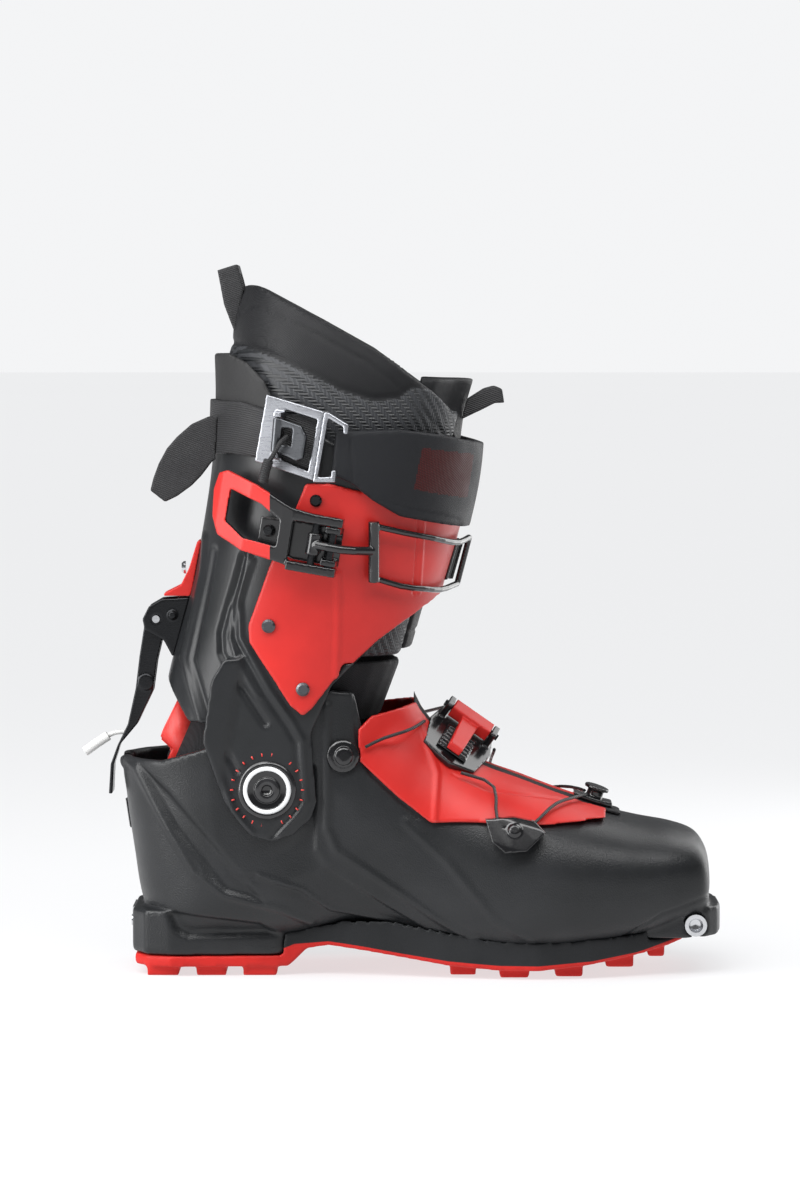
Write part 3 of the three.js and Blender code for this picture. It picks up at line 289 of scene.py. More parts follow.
BLACK = (0.011, 0.012, 0.013)
CHARCOAL = (0.019, 0.02, 0.022)
RED = (0.62, 0.022, 0.017)
DEEP_RED = (0.5, 0.016, 0.013)
# The last colour given to each moulded look is the painted highlight on its edges.
looks = {
    "shell": moulded("shell_plastic", BLACK, CHARCOAL, 0.36, 1500, 0.00008, (0.05, 0.05, 0.055)),
    "cuff": moulded("cuff_plastic", BLACK, (0.016, 0.017, 0.019), 0.32, 2400, 0.00003,
                    (0.06, 0.06, 0.065)),
    "red": moulded("red_plastic", DEEP_RED, RED, 0.4, 2600, 0.00003, (0.8, 0.12, 0.1)),
    "red_rubber": moulded("red_rubber", (0.5, 0.02, 0.015), (0.62, 0.03, 0.02), 0.55, 1800, 0.00005,
                          (0.72, 0.12, 0.1)),
    "rubber": moulded("black_rubber", (0.012, 0.012, 0.012), (0.022, 0.022, 0.023), 0.6, 1700, 0.00006,
                      (0.05, 0.05, 0.05)),
    "gloss": moulded("gloss_black", (0.006, 0.006, 0.007), (0.01, 0.01, 0.011), 0.2, 0, 0,
                     (0.08, 0.08, 0.085), 0.6),
    "black_metal": metal("black_anodised", (0.02, 0.021, 0.023), 0.24, metallic=0.7),
    "aluminium": metal("bare_aluminium", (0.4, 0.41, 0.44), 0.3),
    "dark_aluminium": metal("grey_aluminium", (0.13, 0.135, 0.145), 0.32),
    "steel": metal("polished_steel", (0.7, 0.71, 0.73), 0.16, depth=0.00001),
    "collar": weave("collar_cloth", (0.005, 0.005, 0.006), (0.013, 0.0135, 0.015), 0.7, 0.00005, 0.45,
                    0.03),
    "fibre": twill("fibre_cloth", (0.005, 0.006, 0.007), (0.035, 0.037, 0.042), 1.6, 0.00012),
    "liner": weave("liner_cloth", (0.006, 0.006, 0.007), (0.016, 0.016, 0.018), 1.1, 0.0001, 0.7, 0.05,
                   0.6),
    "webbing": ribbed("webbing", (0.005, 0.005, 0.006), (0.019, 0.019, 0.021), 0.9, 0.0001,
                      (0.35, 0.2, 0.9)),
    "pad": weave("pad_cloth", (0.006, 0.0065, 0.008), (0.014, 0.015, 0.018), 0.6, 0.00004, 0.5, 0.04),
    "mesh_red": weave("red_mesh", (0.01, 0.004, 0.004), (0.07, 0.006, 0.006), 1.5, 0.0001, 0.5, 0.03,
                      0.785),
    "cable": ribbed("steel_cable", (0.006, 0.006, 0.007), (0.022, 0.022, 0.024), 0.8, 0.0001,
                    (0.8, 0.1, 0.6), 0.35),
    "pale": moulded("pale_sleeve", (0.55, 0.55, 0.54), (0.7, 0.7, 0.69), 0.4, 1800, 0.00002,
                    (0.9, 0.9, 0.9)),
    "white": moulded("white_ring", (0.7, 0.71, 0.72), (0.82, 0.83, 0.84), 0.3, 0, 0, (0.9, 0.9, 0.9)),
}


# ---- The boot's own surfaces ----
# One row per ring: low x, low z, high x, high z, half width, fullness low, fullness high, middle y.
FOOT = [
    (271, 30, 271.5, 50, 22, 2.6, 2.6, 2), (269, 26, 270, 58, 32, 2.8, 2.6, 2),
    (264, 23.5, 265, 64.5, 38, 3, 2.6, 2),
    (252, 20, 254, 68.5, 43.5, 3.2, 2.5, 2), (232, 15, 238, 71.5, 48.5, 3.3, 2.4, 2),
    (210, 11, 218, 76.5, 52, 3.3, 2.3, 1), (188, 9.5, 200, 82.5, 53.5, 3.3, 2.2, 0),
    (165, 9.8, 182, 89.5, 51.5, 3.2, 2.2, 0), (142, 13, 166, 95.5, 47.5, 3.1, 2.2, 0),
    (118, 17.5, 153, 103, 44.5, 2.9, 2.2, 0), (95, 18.5, 145, 110, 44.5, 2.8, 2.2, 0),
    (66, 13, 139, 117, 46, 2.7, 2.3, 0), (36, 11, 134.5, 123, 47.5, 2.6, 2.3, 0),
    (12, 12, 131.5, 129, 48, 2.6, 2.3, 0),
    (3.5, 34, 130, 134, 48, 2.5, 2.3, 0), (-0.5, 58, 129, 139, 48, 2.5, 2.3, 0),
    (-4, 82, 128, 143, 48, 2.4, 2.3, 0),
    (-5.5, 100, 128, 147, 48, 2.4, 2.3, 0), (0, 122, 127, 151, 47, 2.4, 2.3, 0),
]
LEG = [
    (8, 58, 122, 60, 50.4, 2.4, 2.4, 0), (8, 92, 126, 92, 50.4, 2.4, 2.4, 0),
    (13, 120, 131, 122, 50.4, 2.4, 2.3, 0),
    (16.5, 142, 134.5, 146, 50.8, 2.3, 2.2, 0), (27, 181, 143, 180, 53, 2.2, 2.2, 0),
    (31.5, 204, 150.5, 206, 55, 2.2, 2.2, 0), (36.5, 236, 156.5, 234, 57, 2.2, 2.2, 0),
    (38.5, 268, 159, 264, 57.5, 2.2, 2.2, 0), (38, 296, 160, 290, 57, 2.2, 2.2, 0),
]
LINER_LEG = [
    (24, 152, 129.5, 150, 46, 2.3, 2.3, 0), (31.5, 181, 137.5, 178, 48.5, 2.2, 2.2, 0),
    (35.5, 204, 144.5, 204, 50.3, 2.2, 2.2, 0), (40.5, 236, 151, 232, 52.3, 2.2, 2.2, 0),
    (42.5, 268, 155, 262, 52.8, 2.2, 2.2, 0), (46, 292, 160, 281, 52, 2.2, 2.2, 0),
    (52, 324, 166, 305, 50, 2.2, 2.2, 0),
]
ANKLE_HALF = 46.0  # half width of the flat ankle
ANKLE_END = 140.0
AROUND = 144  # points round a ring
FAR_SIDE_MM = -500  # well outside the lateral face


def eased(rows, per_gap=8):
    """The ring table read smoothly between its rows (a Catmull-Rom curve through every number)."""
    rows = np.array(rows, float)
    padded = np.vstack([2 * rows[0] - rows[1], rows, 2 * rows[-1] - rows[-2]])
    out = []
    for i in range(len(rows) - 1):
        a, b, c, d = padded[i:i + 4]
        for t in np.arange(per_gap) / per_gap:
            out.append(0.5 * (2 * b + (c - a) * t + (2 * a - 5 * b + 4 * c - d) * t ** 2
                              + (3 * b - a - 3 * c + d) * t ** 3))
    return np.vstack(out + [rows[-1]])


def ring(row, grow):
    low, high = row[0:2], row[2:4]
    middle = (low + high) / 2
    reach = np.linalg.norm(high - low) / 2
    along = (high - low) / (2 * reach)
    angle = np.linspace(0, 2 * math.pi, AROUND, endpoint=False)
    full = np.where(np.cos(angle) < 0, row[5], row[6])
    lift = np.sign(np.cos(angle)) * np.abs(np.cos(angle)) ** (2 / full) * (reach + grow)
    y = np.sign(np.sin(angle)) * np.abs(np.sin(angle)) ** (2 / full) * (row[4] + grow) + row[7]
    xz = middle + lift[:, None] * along
    return np.stack([xz[:, 0], y, xz[:, 1]], axis=1)


def surface(rows, grow=0.0):
    """A search tree of a smooth sock or leg surface, in making millimetres."""
    rings = [ring(row, grow) for row in eased(rows)]
    points = np.vstack(rings)
    faces = []
    for i in range(len(rings) - 1):
        for j in range(AROUND):
            k = (j + 1) % AROUND
            faces.append((i * AROUND + j, i * AROUND + k, (i + 1) * AROUND + k, (i + 1) * AROUND + j))
    tree = BVHTree.FromPolygons([tuple(p) for p in points], faces)
    _, normal, _, _ = tree.find_nearest(Vector((points[:, 0].mean(), FAR_SIDE_MM, points[:, 2].mean())))
    return tree, -1 if normal.y > 0 else 1


# ---- Relief drawn on the side view ----
def to_line(x, z, line):
    """Distance from points to a line of x, z corners."""
    best = np.full(len(x), 1e9)
    for (x0, z0), (x1, z1) in zip(line[:-1], line[1:]):
        dx, dz = x1 - x0, z1 - z0
        t = np.clip(((x - x0) * dx + (z - z0) * dz) / (dx * dx + dz * dz), 0, 1)
        best = np.minimum(best, np.hypot(x - x0 - t * dx, z - z0 - t * dz))
    return best


def inside(x, z, outline):
    """Signed distance to a closed outline: positive inside."""
    closed = list(outline) + [outline[0]]
    within = np.zeros(len(x), bool)
    for (x0, z0), (x1, z1) in zip(closed[:-1], closed[1:]):
        if z0 == z1:
            continue
        crosses = ((z0 > z) != (z1 > z)) & (x < (x1 - x0) * (z - z0) / (z1 - z0) + x0)
        within ^= crosses
    away = to_line(x, z, closed)
    return np.where(within, away, -away)


def smooth_step(value, low, high):
    t = np.clip((value - low) / (high - low), 0, 1)
    return t * t * (3 - 2 * t)


def groove(line, width, depth):
    return lambda x, y, z: -depth * (1 - smooth_step(to_line(x, z, line), 0, width / 2))


def ridge(line, width, height):
    return lambda x, y, z: height * (1 - smooth_step(to_line(x, z, line), 0, width / 2))


def raised(outline, height, edge):
    return lambda x, y, z: height * smooth_step(inside(x, z, outline), -edge / 2, edge / 2)


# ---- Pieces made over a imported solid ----
def as_object(name, mesh, look):
    piece = bpy.data.objects.new(name, mesh)
    bpy.context.scene.collection.objects.link(piece)
    while mesh.materials:
        mesh.materials.pop(index=0)
    mesh.materials.append(looks[look])
    mesh.polygons.foreach_set("use_smooth", [True] * len(mesh.polygons))
    return piece


def remeshed(sources, voxel_mm):
    """One closed, evenly meshed copy of the named solids."""
    bm = bmesh.new()
    for name in sources:
        bm.from_mesh(nodes[name].data)
    mesh = bpy.data.meshes.new("work")
    bm.to_mesh(mesh)
    bm.free()
    work = bpy.data.objects.new("work", mesh)
    bpy.context.scene.collection.objects.link(work)
    remesh = work.modifiers.new("remesh", "REMESH")
    remesh.mode = "VOXEL"
    remesh.voxel_size = voxel_mm * MM
    even = bpy.data.meshes.new_from_object(work.evaluated_get(bpy.context.evaluated_depsgraph_get()))
    bpy.data.objects.remove(work)
    return even


def read_points(mesh):
    flat = np.zeros(len(mesh.vertices) * 3, np.float32)
    mesh.vertices.foreach_get("co", flat)
    return flat.reshape(-1, 3).astype(float)


def read_normals(mesh):
    flat = np.zeros(len(mesh.vertices) * 3, np.float32)
    mesh.vertex_normals.foreach_get("vector", flat)
    return flat.reshape(-1, 3).astype(float)


def write_points(mesh, points):
    mesh.vertices.foreach_set("co", np.asarray(points, np.float32).ravel())
    mesh.update()


def edge_pairs(mesh):
    flat = np.zeros(len(mesh.edges) * 2, np.int32)
    mesh.edges.foreach_get("vertices", flat)
    return flat.reshape(-1, 2)


def relaxed(points, pairs, rounds, share=0.5):
    """Each point moves part of the way to the mean of its neighbours."""
    count = np.bincount(pairs.ravel(), minlength=len(points))[:, None]
    for _ in range(rounds):
        total = np.zeros_like(points)
        for axis in range(3):
            total[:, axis] = (np.bincount(pairs[:, 0], points[pairs[:, 1], axis], len(points))
                              + np.bincount(pairs[:, 1], points[pairs[:, 0], axis], len(points)))
        points = points + share * (total / count - points)
    return points


AGREE_LOW = 0.45
AGREE_HIGH = 0.8
SNAP_FULL = 1.6  # points this near a true surface go onto it
SNAP_NONE = 2.1  # and points further off than this stay
SIDE_ON = 0.35  # a normal less sideways than this belongs to a rim
RELIEF_LOW = 0.2  # how firmly a point lies on a true surface before relief shows
RELIEF_HIGH = 0.8
RELIEF_EASE = 0.3


def refined(name, sources, look, body, voxel=1.2, trees=(), rounds=3, relief=(), limit=None,
            grow=0.0):
    """A smooth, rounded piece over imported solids, with its relief, in their place."""
    mesh = remeshed(sources, voxel)
    points = to_mm(read_points(mesh))
    pairs = edge_pairs(mesh)
    on_surface = np.zeros(len(points))
    points = relaxed(points, pairs, 1)
    facing = read_normals(mesh)
    for tree, outward in trees:
        for i, point in enumerate(points):
            near, normal, _, away = tree.find_nearest(Vector(point), SNAP_NONE)
            if near is None:
                continue
            agree = outward * float(np.dot(facing[i], normal))
            if agree < AGREE_LOW:
                continue
            share = min(1.0, (SNAP_NONE - away) / (SNAP_NONE - SNAP_FULL))
            share *= min(1.0, (agree - AGREE_LOW) / (AGREE_HIGH - AGREE_LOW))
            on_surface[i] = max(on_surface[i], share)
            points[i] = point + share * (np.array(near) - point)
    if limit:
        points = limit(points)
    points = relaxed(points, pairs, rounds)
    write_points(mesh, points)
    if relief:
        normals = read_normals(mesh)
        x, y, z = points.T
        middle_side = np.sign(normals[:, 1]) == np.sign(y)
        lift = np.zeros(len(points))
        for step in relief:
            lift += step(x, y, z)
        lift *= np.where(middle_side | (np.abs(normals[:, 1]) < SIDE_ON), 1.0, 0.0)
        if trees:
            lift *= smooth_step(on_surface, RELIEF_LOW, RELIEF_HIGH)
        points = relaxed(points + lift[:, None] * normals, pairs, 1, RELIEF_EASE)
    if grow:
        points = points + grow * read_normals(mesh)
    write_points(mesh, to_row(points))
    piece = as_object(name, mesh, look)
    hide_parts(*sources)
    if body:
        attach(piece, body)
    return piece


def held_to_ankle(points):
    """Behind the forefoot the lower shell stays within its flat ankle."""
    behind = points[:, 0] < ANKLE_END
    points[behind, 1] = np.clip(points[behind, 1], -ANKLE_HALF, ANKLE_HALF)
    return points


foot_tree = surface(FOOT)
foot_flap_tree = surface(FOOT, 2.5)
leg_tree = surface(LEG)
leg_flap_tree = surface(LEG, 2.5)
strap_pad_tree = surface(LEG, 7.0)
liner_tree = surface(LINER_LEG)
liner_raised_tree = surface(LINER_LEG, 0.6)

# ---- Lower shell ----
HEEL_RECESS = [(14, 27), (18, 31), (60, 25), (68, 19), (64, 14), (20, 16)]
V_LINE = [(85, 100), (85.2, 60.7), (89.7, 52.9), (118.2, 33.5), (137.6, 21.2)]
GREY_RIDGE = [(91.7, 128), (91.7, 71.1), (96.2, 60.7), (141.5, 29.6), (160.3, 18)]
BAND_LOW = [(60, 49), (79.4, 42.6), (93.6, 32.2), (138.9, 20.6)]
FRONT_EDGE = [(128, 74), (146.7, 56.8), (170, 28.4), (186.8, 19.3)]
HEEL_WEDGE = [(3.7, 99), (21, 70), (44, 42), (62, 36), (40, 62), (17.6, 87)]
REAR_CORNER = [(-4, 100), (2, 97), (14, 76), (30, 50), (44, 40), (70, 33), (84, 26)]
TOE_LINE = [(272.8, 38.7), (247.6, 30.9), (232.1, 20.6), (221.7, 15.4)]


def hollowed(line, above, depth, reach):
    """A step down on the under side of a line, easing back to nothing at its reach."""
    xs = np.array([p[0] for p in line])
    zs = np.array([p[1] for p in line])
    order = np.argsort(xs)

    def shape(x, y, z):
        edge = np.interp(x, xs[order], zs[order])
        under = (z - edge) if above else (edge - z)
        away = to_line(x, z, line)
        return np.where(under > 0, -depth * smooth_step(away, 0, 1.8) * (1 - smooth_step(away, 2, reach)),
                        0)
    return shape


shell_relief = (
    raised(HEEL_RECESS, -1.8, 2.4),
    groove(V_LINE, 3.4, 1.5),
    hollowed(V_LINE, False, 1.6, 26),
    ridge(GREY_RIDGE, 6, 1.3),
    ridge(BAND_LOW, 4, 1.0),
    hollowed(BAND_LOW, False, 1.2, 12),
    ridge(FRONT_EDGE, 7, 0.7),
    raised(HEEL_WEDGE, -2.0, 3.5),
    ridge(REAR_CORNER, 6, 1.1),
    groove(TOE_LINE, 2.2, 0.7),
    groove([(104, 133), (105.6, 112), (112, 96), (134, 76)], 2.4, 0.6),
)
refined("lower_shell", ["lower_shell"], "shell", "shell", voxel=1.1,
        trees=(foot_tree,), relief=shell_relief, limit=held_to_ankle)
for side in ("lateral", "medial"):
    refined(f"instep_flap_{side}", [f"instep_flap_{side}"], "red", "shell", voxel=0.75,
            trees=(foot_flap_tree,), rounds=2,
            relief=(ridge([(135, 118), (142.8, 96), (141.5, 73)], 5, 0.8),
                    groove([(150, 95), (166, 88), (192, 84), (214, 79.5)], 1.6, 0.4)))

# The red plate behind the cuff stands between the walk lever and the shell.
REAR_PLATE = [(23.5, 134), (31.5, 110), (22.2, 93.1), (15.5, 99.3), (18.1, 105.5), (12.6, 110.6),
              (14, 114.8)]
REAR_PLATE_HALF = 19.0
REAR_PLATE_SOFT = 0.9


def extruded(name, outline, y_low, y_high, look, soft_mm):
    """A plate of a side-view outline between two widths, with its edges rounded."""
    bm = bmesh.new()
    ends = [[bm.verts.new(to_row((x, y, z))) for x, z in outline] for y in (y_low, y_high)]
    bm.faces.new(ends[0])
    bm.faces.new(ends[1][::-1])
    for i in range(len(outline)):
        k = (i + 1) % len(outline)
        bm.faces.new((ends[0][k], ends[0][i], ends[1][i], ends[1][k]))
    bmesh.ops.recalc_face_normals(bm, faces=bm.faces)
    bmesh.ops.bevel(bm, geom=list(bm.edges), offset=soft_mm * MM, segments=3, affect="EDGES",
                    clamp_overlap=True)
    mesh = bpy.data.meshes.new(name)
    bm.to_mesh(mesh)
    bm.free()
    return as_object(name, mesh, look)


rear_plate = extruded("rear_panel", REAR_PLATE, -REAR_PLATE_HALF, REAR_PLATE_HALF, "red", REAR_PLATE_SOFT)
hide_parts("rear_panel")
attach(rear_plate, "shell")

# ---- Cuff ----
FRONT_BAND = [(58, 200), (53.6, 177.6), (54.3, 161.1), (68, 136.4), (78.3, 121.5), (82.6, 113.7),
              (84.5, 84.9),
              (81.4, 79.8), (71.3, 69)]
MIDDLE_VALLEY = [(52.8, 198), (44.8, 171.4), (42.3, 162.1), (42.8, 152.9), (49.5, 141.5), (63.4, 120.4)]
MIDDLE_RIDGE = [(57.5, 196), (49.5, 173), (47.5, 160), (50, 150), (60, 133)]
REAR_BAND = [(34, 205), (33, 189.9), (23.6, 149), (34, 116.8), (48.4, 80), (57, 69)]
REAR_VALLEY = [(39, 200), (37.1, 188.9), (28.6, 149), (37, 122), (50, 98)]
cuff_relief = (
    ridge([(x - 2.2, z - 1) for x, z in FRONT_BAND], 4.4, 1.0),
    groove([(x - 5.6, z - 1.5) for x, z in FRONT_BAND], 3.6, 0.9),
    groove(MIDDLE_VALLEY, 5.0, 1.5),
    ridge(MIDDLE_RIDGE, 4.0, 0.8),
    ridge(REAR_BAND, 4.6, 1.0),
    groove(REAR_VALLEY, 4.6, 1.2),
)
refined("cuff", ["cuff"], "cuff", "cuff", voxel=1.0, trees=(leg_tree,), relief=cuff_relief)
for side in ("lateral", "medial"):
    refined(f"cuff_flap_{side}", [f"cuff_flap_{side}"], "red", "cuff", voxel=0.85,
            trees=(leg_flap_tree,), rounds=2,
            relief=(ridge([(97, 190), (97, 165), (96, 140)], 5, 0.5),
                    groove([(135, 232), (133.5, 205), (132, 180)], 1.8, 0.8),
                    ridge([(137.5, 232), (136, 205), (134.5, 180)], 2.4, 0.5)))
refined("spoiler", ["spoiler"], "rubber", "cuff", voxel=1.0, trees=(leg_tree,), rounds=4,
        relief=(ridge([(41, 292), (55, 290), (63, 280), (69, 268)], 3, 0.7),))


# ---- Cuff pivots ----
TURNED_SIDES = 64


def turned(name, profile, place_mm, side):
    """A piece turned about the boot's width; the profile's rows are radius, height off the face, look."""
    bm = bmesh.new()
    rings = []
    for radius, height, _ in profile:
        if radius == 0:
            centre = to_row((place_mm[0], place_mm[1] + side * height, place_mm[2]))
            rings.append([bm.verts.new(centre)] * TURNED_SIDES)
            continue
        angle = np.linspace(0, 2 * math.pi, TURNED_SIDES, endpoint=False)
        rings.append([bm.verts.new(to_row((place_mm[0] + radius * math.cos(a), place_mm[1] + side * height,
                                           place_mm[2] + radius * math.sin(a)))) for a in angle])
    kinds = []
    for row in profile:
        if row[2] not in kinds:
            kinds.append(row[2])
    for low, high, row in zip(rings[:-1], rings[1:], profile[1:]):
        for i in range(TURNED_SIDES):
            k = (i + 1) % TURNED_SIDES
            corners = []
            for vert in (low[i], low[k], high[k], high[i]):
                if vert not in corners:
                    corners.append(vert)
            face = bm.faces.new(corners)
            face.material_index = kinds.index(row[2])
    bmesh.ops.recalc_face_normals(bm, faces=bm.faces)
    mesh = bpy.data.meshes.new(name)
    bm.to_mesh(mesh)
    bm.free()
    piece = as_object(name, mesh, kinds[0])
    for kind in kinds[1:]:
        mesh.materials.append(looks[kind])
    return piece


PIVOT_FACE = 49.9  # just off the cuff's lobe
PIVOT_ROWS = [(0, -3.2, "gloss"), (11.6, -3.2, "gloss"), (12.4, -3.0, "gloss"), (13.4, 0.0, "gloss"),
              (13.6, 0.6, "gloss"), (13.4, 1.3, "gloss"), (12.2, 1.9, "gloss"), (11.3, 2.0, "gloss"),
              (11.1, 1.7, "gloss"),
              (11.0, 2.1, "white"), (10.6, 2.35, "white"), (9.5, 2.35, "white"), (9.1, 2.1, "white"),
              (9.0, 1.6, "gloss"), (8.6, 1.5, "gloss"), (6.6, 0.9, "gloss"), (6.2, 0.8, "gloss"),
              (5.9, 1.7, "gloss"), (5.5, 2.1, "gloss"), (2.9, 2.2, "gloss"), (2.5, 1.9, "gloss"),
              (2.2, 0.9, "gloss"),
              (0, 0.8, "gloss")]
TICK_AT = 16.4
TICK_COUNT = 22
TICK_LONG = 1.5
TICK_WIDE = 0.6


def tick_ring(name, side):
    """Plain dashes round a pivot."""
    bm = bmesh.new()
    for i in range(TICK_COUNT):
        a = 2 * math.pi * i / TICK_COUNT
        out = np.array([math.cos(a), 0, math.sin(a)])
        along = np.array([-math.sin(a), 0, math.cos(a)])
        middle = np.array([PIVOT_X, side * PIVOT_FACE, PIVOT_Z]) + TICK_AT * out
        corners = []
        for lift in (-0.5, 0.45):
            for u, v in ((-1, -1), (1, -1), (1, 1), (-1, 1)):
                spot = middle + out * u * TICK_LONG / 2 + along * v * TICK_WIDE / 2 + np.array([0,
                                                                                                side * lift,
                                                                                                0])
                corners.append(bm.verts.new(to_row(spot)))
        for face in ((0, 1, 2, 3), (4, 7, 6, 5), (0, 4, 5, 1), (1, 5, 6, 2), (2, 6, 7, 3), (3, 7, 4, 0)):
            bm.faces.new([corners[k] for k in face])
    bmesh.ops.recalc_face_normals(bm, faces=bm.faces)
    mesh = bpy.data.meshes.new(name)
    bm.to_mesh(mesh)
    bm.free()
    return as_object(name, mesh, "red")


for side_name, side in (("lateral", LATERAL), ("medial", MEDIAL)):
    bolt = turned(f"pivot_bolt_{side_name}", PIVOT_ROWS, (PIVOT_X, side * PIVOT_FACE, PIVOT_Z), side)
    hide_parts(f"pivot_bolt_{side_name}")
    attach(bolt, "shell")
    ticks = tick_ring(f"pivot_ticks_{side_name}", side)
    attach(ticks, "cuff")

# ---- Liner ----
COLLAR_SEAM = [(40, 297), (52.6, 295.6), (65.2, 291), (81.3, 284.2), (98.5, 275), (113.4, 270.4),
               (124.9, 271.5),
               (130.6, 276.1), (150, 276)]
COLLAR_PIPE = [(52, 309), (58.4, 313.5), (81.3, 303), (110, 287.5), (129.5, 272.5), (145.5, 254)]


def puffed(line, reach, height):
    """A padded band that swells away from a sewn line."""
    def shape(x, y, z):
        away = to_line(x, z, line)
        return height * np.sin(np.clip(away / reach, 0, 1) * math.pi) - 0.7 * (1 - smooth_step(away, 0,
                                                                                               2.2))
    return shape


refined("liner_foot", ["liner_foot"], "liner", "shell", voxel=1.6, rounds=4)
liner_cuff = refined("liner_cuff", ["liner_cuff"], "collar", None, voxel=1.2,
                     trees=(liner_tree,), rounds=5,
                     relief=(puffed(COLLAR_SEAM, 24, 1.2), groove(COLLAR_PIPE, 2.2, 0.7)))
liner_cuff.data.materials.append(looks["fibre"])
for face in liner_cuff.data.polygons:
    spot = to_mm(face.center)
    seam_z = np.interp(spot[0], [p[0] for p in COLLAR_SEAM], [p[1] for p in COLLAR_SEAM])
    face.material_index = 1 if spot[2] < seam_z - 1 else 0
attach(liner_cuff, "cuff")
flex = refined("liner_flex", ["liner_flex"], "liner", None, voxel=1.2, rounds=4)
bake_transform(flex)


def spread_tongue(points):
    """The tongue widens and curves back inside the collar towards its top."""
    rise = smooth_step(points[:, 2], 250, 268)
    y = points[:, 1] * (1 + 0.75 * rise)
    bend = 13 * (y / 34) ** 2 + 5 * smooth_step(np.abs(y), 10, 20) - 3.5 * (points[:, 1] / 19.5) ** 2
    return np.stack([points[:, 0] - rise * bend, y, points[:, 2]], axis=1)


tongue = refined("tongue", ["tongue"], "collar", "cuff", voxel=1.0,
                 trees=(liner_raised_tree,), rounds=4, limit=spread_tongue,
                 relief=tuple(groove([(100, z), (180, z + 2)], 3, 0.7) for z in (160, 172, 184, 196)))
refined("gaiter", ["gaiter"], "liner", "shell", voxel=0.8, rounds=3)
for loop in ("rear_loop", "front_loop"):
    refined(loop, [loop], "webbing", "cuff", voxel=0.6, rounds=2)

# ---- Power strap ----
refined("strap_band", ["strap_band"], "webbing", "cuff", voxel=0.8, rounds=1,
        trees=(leg_flap_tree,))
refined("strap_tail", ["strap_tail"], "webbing", "cuff", voxel=0.6, rounds=1)
pad = refined("strap_pad", ["strap_pad"], "pad", "cuff", voxel=0.9, rounds=3,
              trees=(strap_pad_tree,),
              relief=(groove([(103, 252), (104, 228), (144, 217), (153, 214)], 1.6, 0.5),))
pad.data.materials.append(looks["mesh_red"])
PAD_WINDOW = [(135.8, 248), (160, 244.5), (157, 224), (131.8, 229)]
for face in pad.data.polygons:
    spot = to_mm(face.center)
    if inside(spot[0:1], spot[2:3], PAD_WINDOW)[0] > 0 and face.normal[1] < 0:
        face.material_index = 1

# ---- Metal and moulded fittings, with eased edges ----
# Each row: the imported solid, look, body, slot, voxel in mm.
FITTINGS = [
    ("outsole", "red_rubber", "shell", "sole_rubber", 0.9),
    ("spine_housing", "red", "cuff", "red_plastic", 0.5),
    ("walk_bracket", "black_metal", "cuff", "black_metal", 0.45),
    ("walk_lever", "black_metal", "walk_lever", "black_metal", 0.45),
    ("instep_saddle", "gloss", "shell", "black_metal", 0.5),
    ("instep_rack", "gloss", "shell", "black_metal", 0.4),
    ("instep_lever", "red", "instep_lever", "red_metal", 0.4),
    ("front_hook", "gloss", "shell", "black_metal", 0.4),
    ("cable_anchor_lateral", "gloss", "shell", "black_metal", 0.4),
    ("cable_anchor_medial", "gloss", "shell", "black_metal", 0.4),
    ("cable_guide_lateral", "gloss", "shell", "black_metal", 0.4),
    ("cable_guide_medial", "gloss", "shell", "black_metal", 0.4),
    ("strap_buckle", "aluminium", "cuff", "grey_metal", 0.4),
    ("strap_hook", "aluminium", "cuff", "grey_metal", 0.4),
    ("strap_cam", "dark_aluminium", "strap_cam", "grey_metal", 0.35),
    ("buckle_base", "gloss", "cuff", "black_metal", 0.45),
    ("buckle_rack", "gloss", "cuff", "black_metal", 0.45),
    ("buckle_bail", "gloss", "buckle_bail", "black_metal", 0.4),
]
fittings = {}
for solid, look, body, slot, voxel in FITTINGS:
    fittings[solid] = refined(solid, [solid], look, body, voxel=voxel, rounds=2)

# The outsole is red only along its lower edge and its lugs; the wall above is black.
RED_TOP = [(66, 11), (76, 15), (92, 16.4), (110, 13.9), (126, 11.3), (148, 8.2), (172, 6.6), (190, 6.6),
           (215, 8.6),
           (236, 12), (254, 16.9), (268, 24), (280, 28)]
RED_REACH = 300.0  # the height curve's span in mm, along the boot and up
HEEL_RED_TOP = 60  # above the sole, so that it is red to its top behind the arch


def two_tone_sole():
    n = Nodes("sole_two_tone")
    split = n.new("ShaderNodeSeparateXYZ")
    n.link(n.place, split.inputs["Vector"])
    along = n.maths("ADD", n.maths("DIVIDE", split.outputs["X"], RED_REACH * MM),
                    float(-OFFSET[0] / RED_REACH))
    curve = n.new("ShaderNodeFloatCurve")
    line = curve.mapping.curves[0]
    line.points[0].location = (0.0, HEEL_RED_TOP / RED_REACH)
    line.points[1].location = (1.0, RED_TOP[-1][1] / RED_REACH)
    line.points.new((RED_TOP[0][0] - 0.5) / RED_REACH, HEEL_RED_TOP / RED_REACH)
    for x, z in RED_TOP:
        line.points.new(x / RED_REACH, z / RED_REACH)
    for point in line.points:
        point.handle_type = "VECTOR"
    curve.mapping.update()
    n.link(along, curve.inputs["Value"])
    up = n.maths("DIVIDE", split.outputs["Z"], RED_REACH * MM)
    above = n.spread(n.maths("SUBTRACT", up, curve.outputs["Value"]), -0.0005, 0.0005, 0, 1)
    mottled = n.spread(n.noise(26, 4), 0.3, 0.7, 0, 1)
    # The sole's red gets the same painted highlight on its sharp edges.
    red = n.painted_edge_highlight(n.mix(mottled, DEEP_RED, RED), (0.75, 0.1, 0.08))
    n.link(n.mix(above, red, n.mix(mottled, BLACK, CHARCOAL)), n.shader.inputs["Base Color"])
    n.link(n.spread(n.noise(45, 5), 0.3, 0.75, 0.45, 0.6), n.shader.inputs["Roughness"])
    n.shader.inputs["Specular IOR Level"].default_value = 0.25
    n.bump(n.cells(1700), 0.00005)
    return n.material


fittings["outsole"].data.materials[0] = two_tone_sole()

